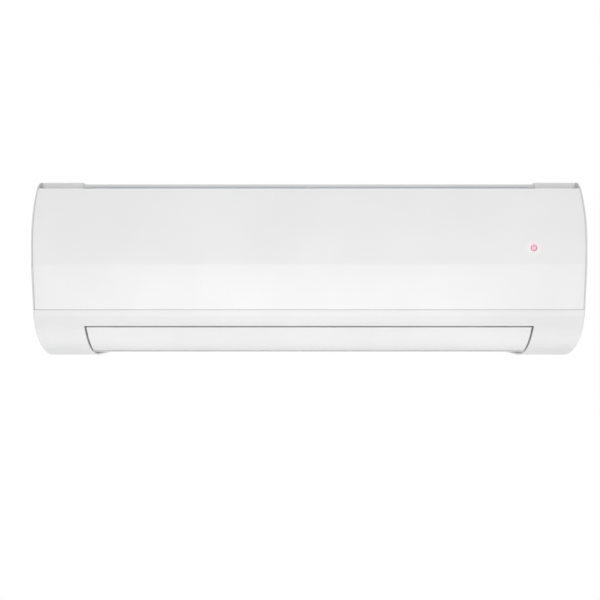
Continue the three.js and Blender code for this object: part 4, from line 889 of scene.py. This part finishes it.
def filter_bar(x, rise, half_wall):
    outline = [on_filter(rise[0], -half_wall), on_filter(rise[1], -half_wall),
               on_filter(rise[1], half_wall), on_filter(rise[0], half_wall)]
    return prism("bar", outline, *x, "filter_frame")


def filter_frame(side):
    """A rim with fine ribs both ways."""
    rim, rib = 6.0, 0.9
    columns, rows = FILTER_BAYS
    low, high = FILTER_RISE
    across = ordered(side * FILTER_INNER, side * FILTER_OUTER)
    wall = FILTER_HALF_WALL
    bars = [
        filter_bar(across, (low, low + rim), wall),
        filter_bar(across, (high - rim, high), wall),
        filter_bar((across[0], across[0] + rim), (low + 3, high - 3), wall - 0.02),
        filter_bar((across[1] - rim, across[1]), (low + 3, high - 3), wall - 0.02),
    ]
    for i in range(1, columns):
        x = across[0] + (across[1] - across[0]) * i / columns
        bars.append(filter_bar((x - rib, x + rib), (low + 4, high - 4), wall - 0.35))
    for i in range(1, rows):
        rise = low + (high - low) * i / rows
        bars.append(filter_bar((across[0] + 4, across[1] - 4), (rise - rib, rise + rib),
                               wall - 0.45))
    return [baked(bevelled(bar, 0.25)) for bar in bars]


def filter_sheet(side):
    """The net: a thin sheet with a shallow wave between its ribs."""
    across = ordered(side * (FILTER_INNER + 4), side * (FILTER_OUTER - 4))
    columns, rows, bays = 96, 40, FILTER_BAYS
    low, high = FILTER_RISE[0] + 4, FILTER_RISE[1] - 4
    vertices = []
    for face in (-NET_HALF_WALL, NET_HALF_WALL):
        for row in range(rows + 1):
            for column in range(columns + 1):
                wave = abs(sin(pi * bays[0] * column / columns) * sin(pi * bays[1] * row / rows))
                y, z = on_filter(low + (high - low) * row / rows, face + NET_WAVE * wave)
                vertices.append((across[0] + (across[1] - across[0]) * column / columns, y, z))
    return new_piece("net", vertices, sheet_faces(columns + 1, rows + 1), "filter")


for side, end in SIDES:
    settle(joined(f"filter_frame_{end}", filter_frame(side)), f"filter_{end}_body", "filter_net",
           f"filter_{end}")
    net = filter_sheet(side)
    net.name = f"filter_sheet_{end}"
    settle(net, f"filter_{end}_body", "filter_net")


# ---------- the fan wheel ----------

FAN_AXIS = (FRONT + 96.0, BOTTOM + 123.5)
FAN_RADIUS = 46.0
FAN_HALF = 335.0
FAN_DISC = 2.5
FAN_BORE = 4.5
FAN_HUB = 9.0
FAN_TWIST = 2.5


def on_fan(radius, angle):
    return (FAN_AXIS[0] + radius * cos(radians(angle)), FAN_AXIS[1] + radius * sin(radians(angle)))


def fan_blade(start, end, turn):
    """A thin blade whose section bends forward towards its outer edge."""
    inner, outer, steps = 34.6, 45.6, 6
    front, back = [], []
    for i in range(steps + 1):
        share = i / steps
        radius = inner + (outer - inner) * share
        angle = turn + 21 * share ** 1.6
        half = degrees((0.35 + 0.5 * sin(pi * share) ** 0.7) / radius)
        front.append(on_fan(radius, angle + half))
        back.append(on_fan(radius, angle - half))
    return prism("blade", front + back[::-1], start, end, "fan")


def fan_wheel():
    """Rings of blades between discs, each turned a little from the last, with a stub and a hub."""
    blades, segments = 36, 4
    pitch = (2 * FAN_HALF - FAN_DISC) / segments
    parts = []
    for segment in range(segments):
        start = -FAN_HALF + segment * pitch + FAN_DISC - 0.2
        for i in range(blades):
            parts.append(fan_blade(start, start + pitch - FAN_DISC + 0.4,
                                   360 * i / blades + FAN_TWIST * segment))
    for ring in range(segments + 1):
        x = -FAN_HALF + ring * pitch
        solid = ring in (0, segments)
        parts.append(tube_piece("disc", FAN_BORE if solid else 33.0, FAN_RADIUS,
                                (x, x + FAN_DISC), FAN_AXIS, "fan", 72))
    parts.append(rod_piece("stub", 4.0, (-350.5, -FAN_HALF + 4), FAN_AXIS, "fan"))
    parts.append(tube_piece("hub", FAN_BORE, FAN_HUB, (FAN_HALF - 1, 347.5), FAN_AXIS, "fan"))
    parts.append(rod_piece("hub_floor", FAN_HUB - 0.1, (FAN_HALF - 1.2, FAN_HALF - 0.2),
                           FAN_AXIS, "fan"))
    return joined("fan_blades", parts)


settle(fan_wheel(), "fan", "fan_plastic", "fan_wheel")


# ---------- studio ----------

# name, place, point it faces, size, all in metres, then watts and the light it adds
LAMPS = (
    ("front_below", (0, -1.3, -0.8), (0, -0.15, -0.05), (0.9, 0.6), 3.0, "diffuse"),
    ("facet_strip", (0, -1.25, -0.38), (0, -0.18, -0.03), (2.3, 0.42), 4.2, "glossy"),
    ("low_softbox", (0, -1.25, -0.585), (0, -0.18, -0.04), (1.15, 0.78), 3.6, "glossy"),
    ("under_softbox", (0, -0.3, -0.95), (0, -0.12, -0.1), (1.9, 0.9), 6.0, "glossy"),
)
FLOOR_HALF = 4
FLOOR_Z = -1.5


def area_light(name, place, aim, size, power, adds):
    light = bpy.data.lights.new(name, "AREA")
    light.shape = "RECTANGLE"
    light.size, light.size_y = size
    light.energy = power
    lamp = bpy.data.objects.new(name, light)
    lamp.location = place
    lamp.rotation_euler = (Vector(aim) - Vector(place)).to_track_quat("-Z", "Y").to_euler()
    lamp.visible_camera = False
    lamp.visible_diffuse = adds == "diffuse"
    lamp.visible_glossy = adds == "glossy"
    bpy.context.scene.collection.objects.link(lamp)


def stage_plane(name, corners, material):
    mesh = bpy.data.meshes.new(name)
    mesh.from_pydata(corners, [], [(0, 1, 2, 3)])
    mesh.materials.append(material)
    plane = bpy.data.objects.new(name, mesh)
    bpy.context.scene.collection.objects.link(plane)


def studio():
    """A white room that is dimmer towards both ends of the unit, over a pale floor."""
    world = bpy.data.worlds.new("studio")
    bpy.context.scene.world = world
    world.use_nodes = True
    tree = world.node_tree
    room = tree.nodes["Background"]
    room.inputs["Strength"].default_value = 1.27
    direction = tree.nodes.new("ShaderNodeTexCoord")
    split = tree.nodes.new("ShaderNodeSeparateXYZ")
    sideways = tree.nodes.new("ShaderNodeMath")
    sideways.operation = "ABSOLUTE"
    fade = tree.nodes.new("ShaderNodeValToRGB")
    fade.color_ramp.interpolation = "EASE"
    for element, (place, tone) in zip(fade.color_ramp.elements, ((0.35, 1.0), (0.85, 0.12))):
        element.position = place
        element.color = (tone, tone, tone, 1)
    tree.links.new(direction.outputs["Generated"], split.inputs["Vector"])
    tree.links.new(split.outputs["X"], sideways.inputs[0])
    tree.links.new(sideways.outputs["Value"], fade.inputs["Fac"])
    tree.links.new(fade.outputs["Color"], room.inputs["Color"])
    white = tree.nodes.new("ShaderNodeBackground")
    white.inputs["Color"].default_value = (1, 1, 1, 1)
    white.inputs["Strength"].default_value = 1.0
    path = tree.nodes.new("ShaderNodeLightPath")
    mixed = tree.nodes.new("ShaderNodeMixShader")
    tree.links.new(path.outputs["Is Camera Ray"], mixed.inputs["Fac"])
    tree.links.new(room.outputs["Background"], mixed.inputs[1])
    tree.links.new(white.outputs["Background"], mixed.inputs[2])
    tree.links.new(mixed.outputs["Shader"], tree.nodes["World Output"].inputs["Surface"])

    # a pale floor that the camera sees as white
    nodes = Nodes("floor_paper")
    paper = nodes.noise(nodes.place(), 40.0, 3.0)
    nodes.set(colour=nodes.ramp(paper, [(0.3, (0.86, 0.86, 0.86)), (0.7, (0.88, 0.88, 0.88))]),
              roughness=0.9)
    path = nodes.add("ShaderNodeLightPath")
    white = nodes.add("ShaderNodeEmission")
    white.inputs["Color"].default_value = (1, 1, 1, 1)
    white.inputs["Strength"].default_value = 1.0
    mixed = nodes.add("ShaderNodeMixShader")
    nodes.link(path.outputs["Is Camera Ray"], mixed.inputs["Fac"])
    nodes.link(nodes.shader.outputs["BSDF"], mixed.inputs[1])
    nodes.link(white.outputs["Emission"], mixed.inputs[2])
    nodes.link(mixed.outputs["Shader"], nodes.tree.nodes["Material Output"].inputs["Surface"])
    half = FLOOR_HALF
    stage_plane("floor", [(-half, -half, FLOOR_Z), (half, -half, FLOOR_Z), (half, half, FLOOR_Z),
                          (-half, half, FLOOR_Z)], nodes.material)
    for lamp in LAMPS:
        area_light(*lamp)


studio()
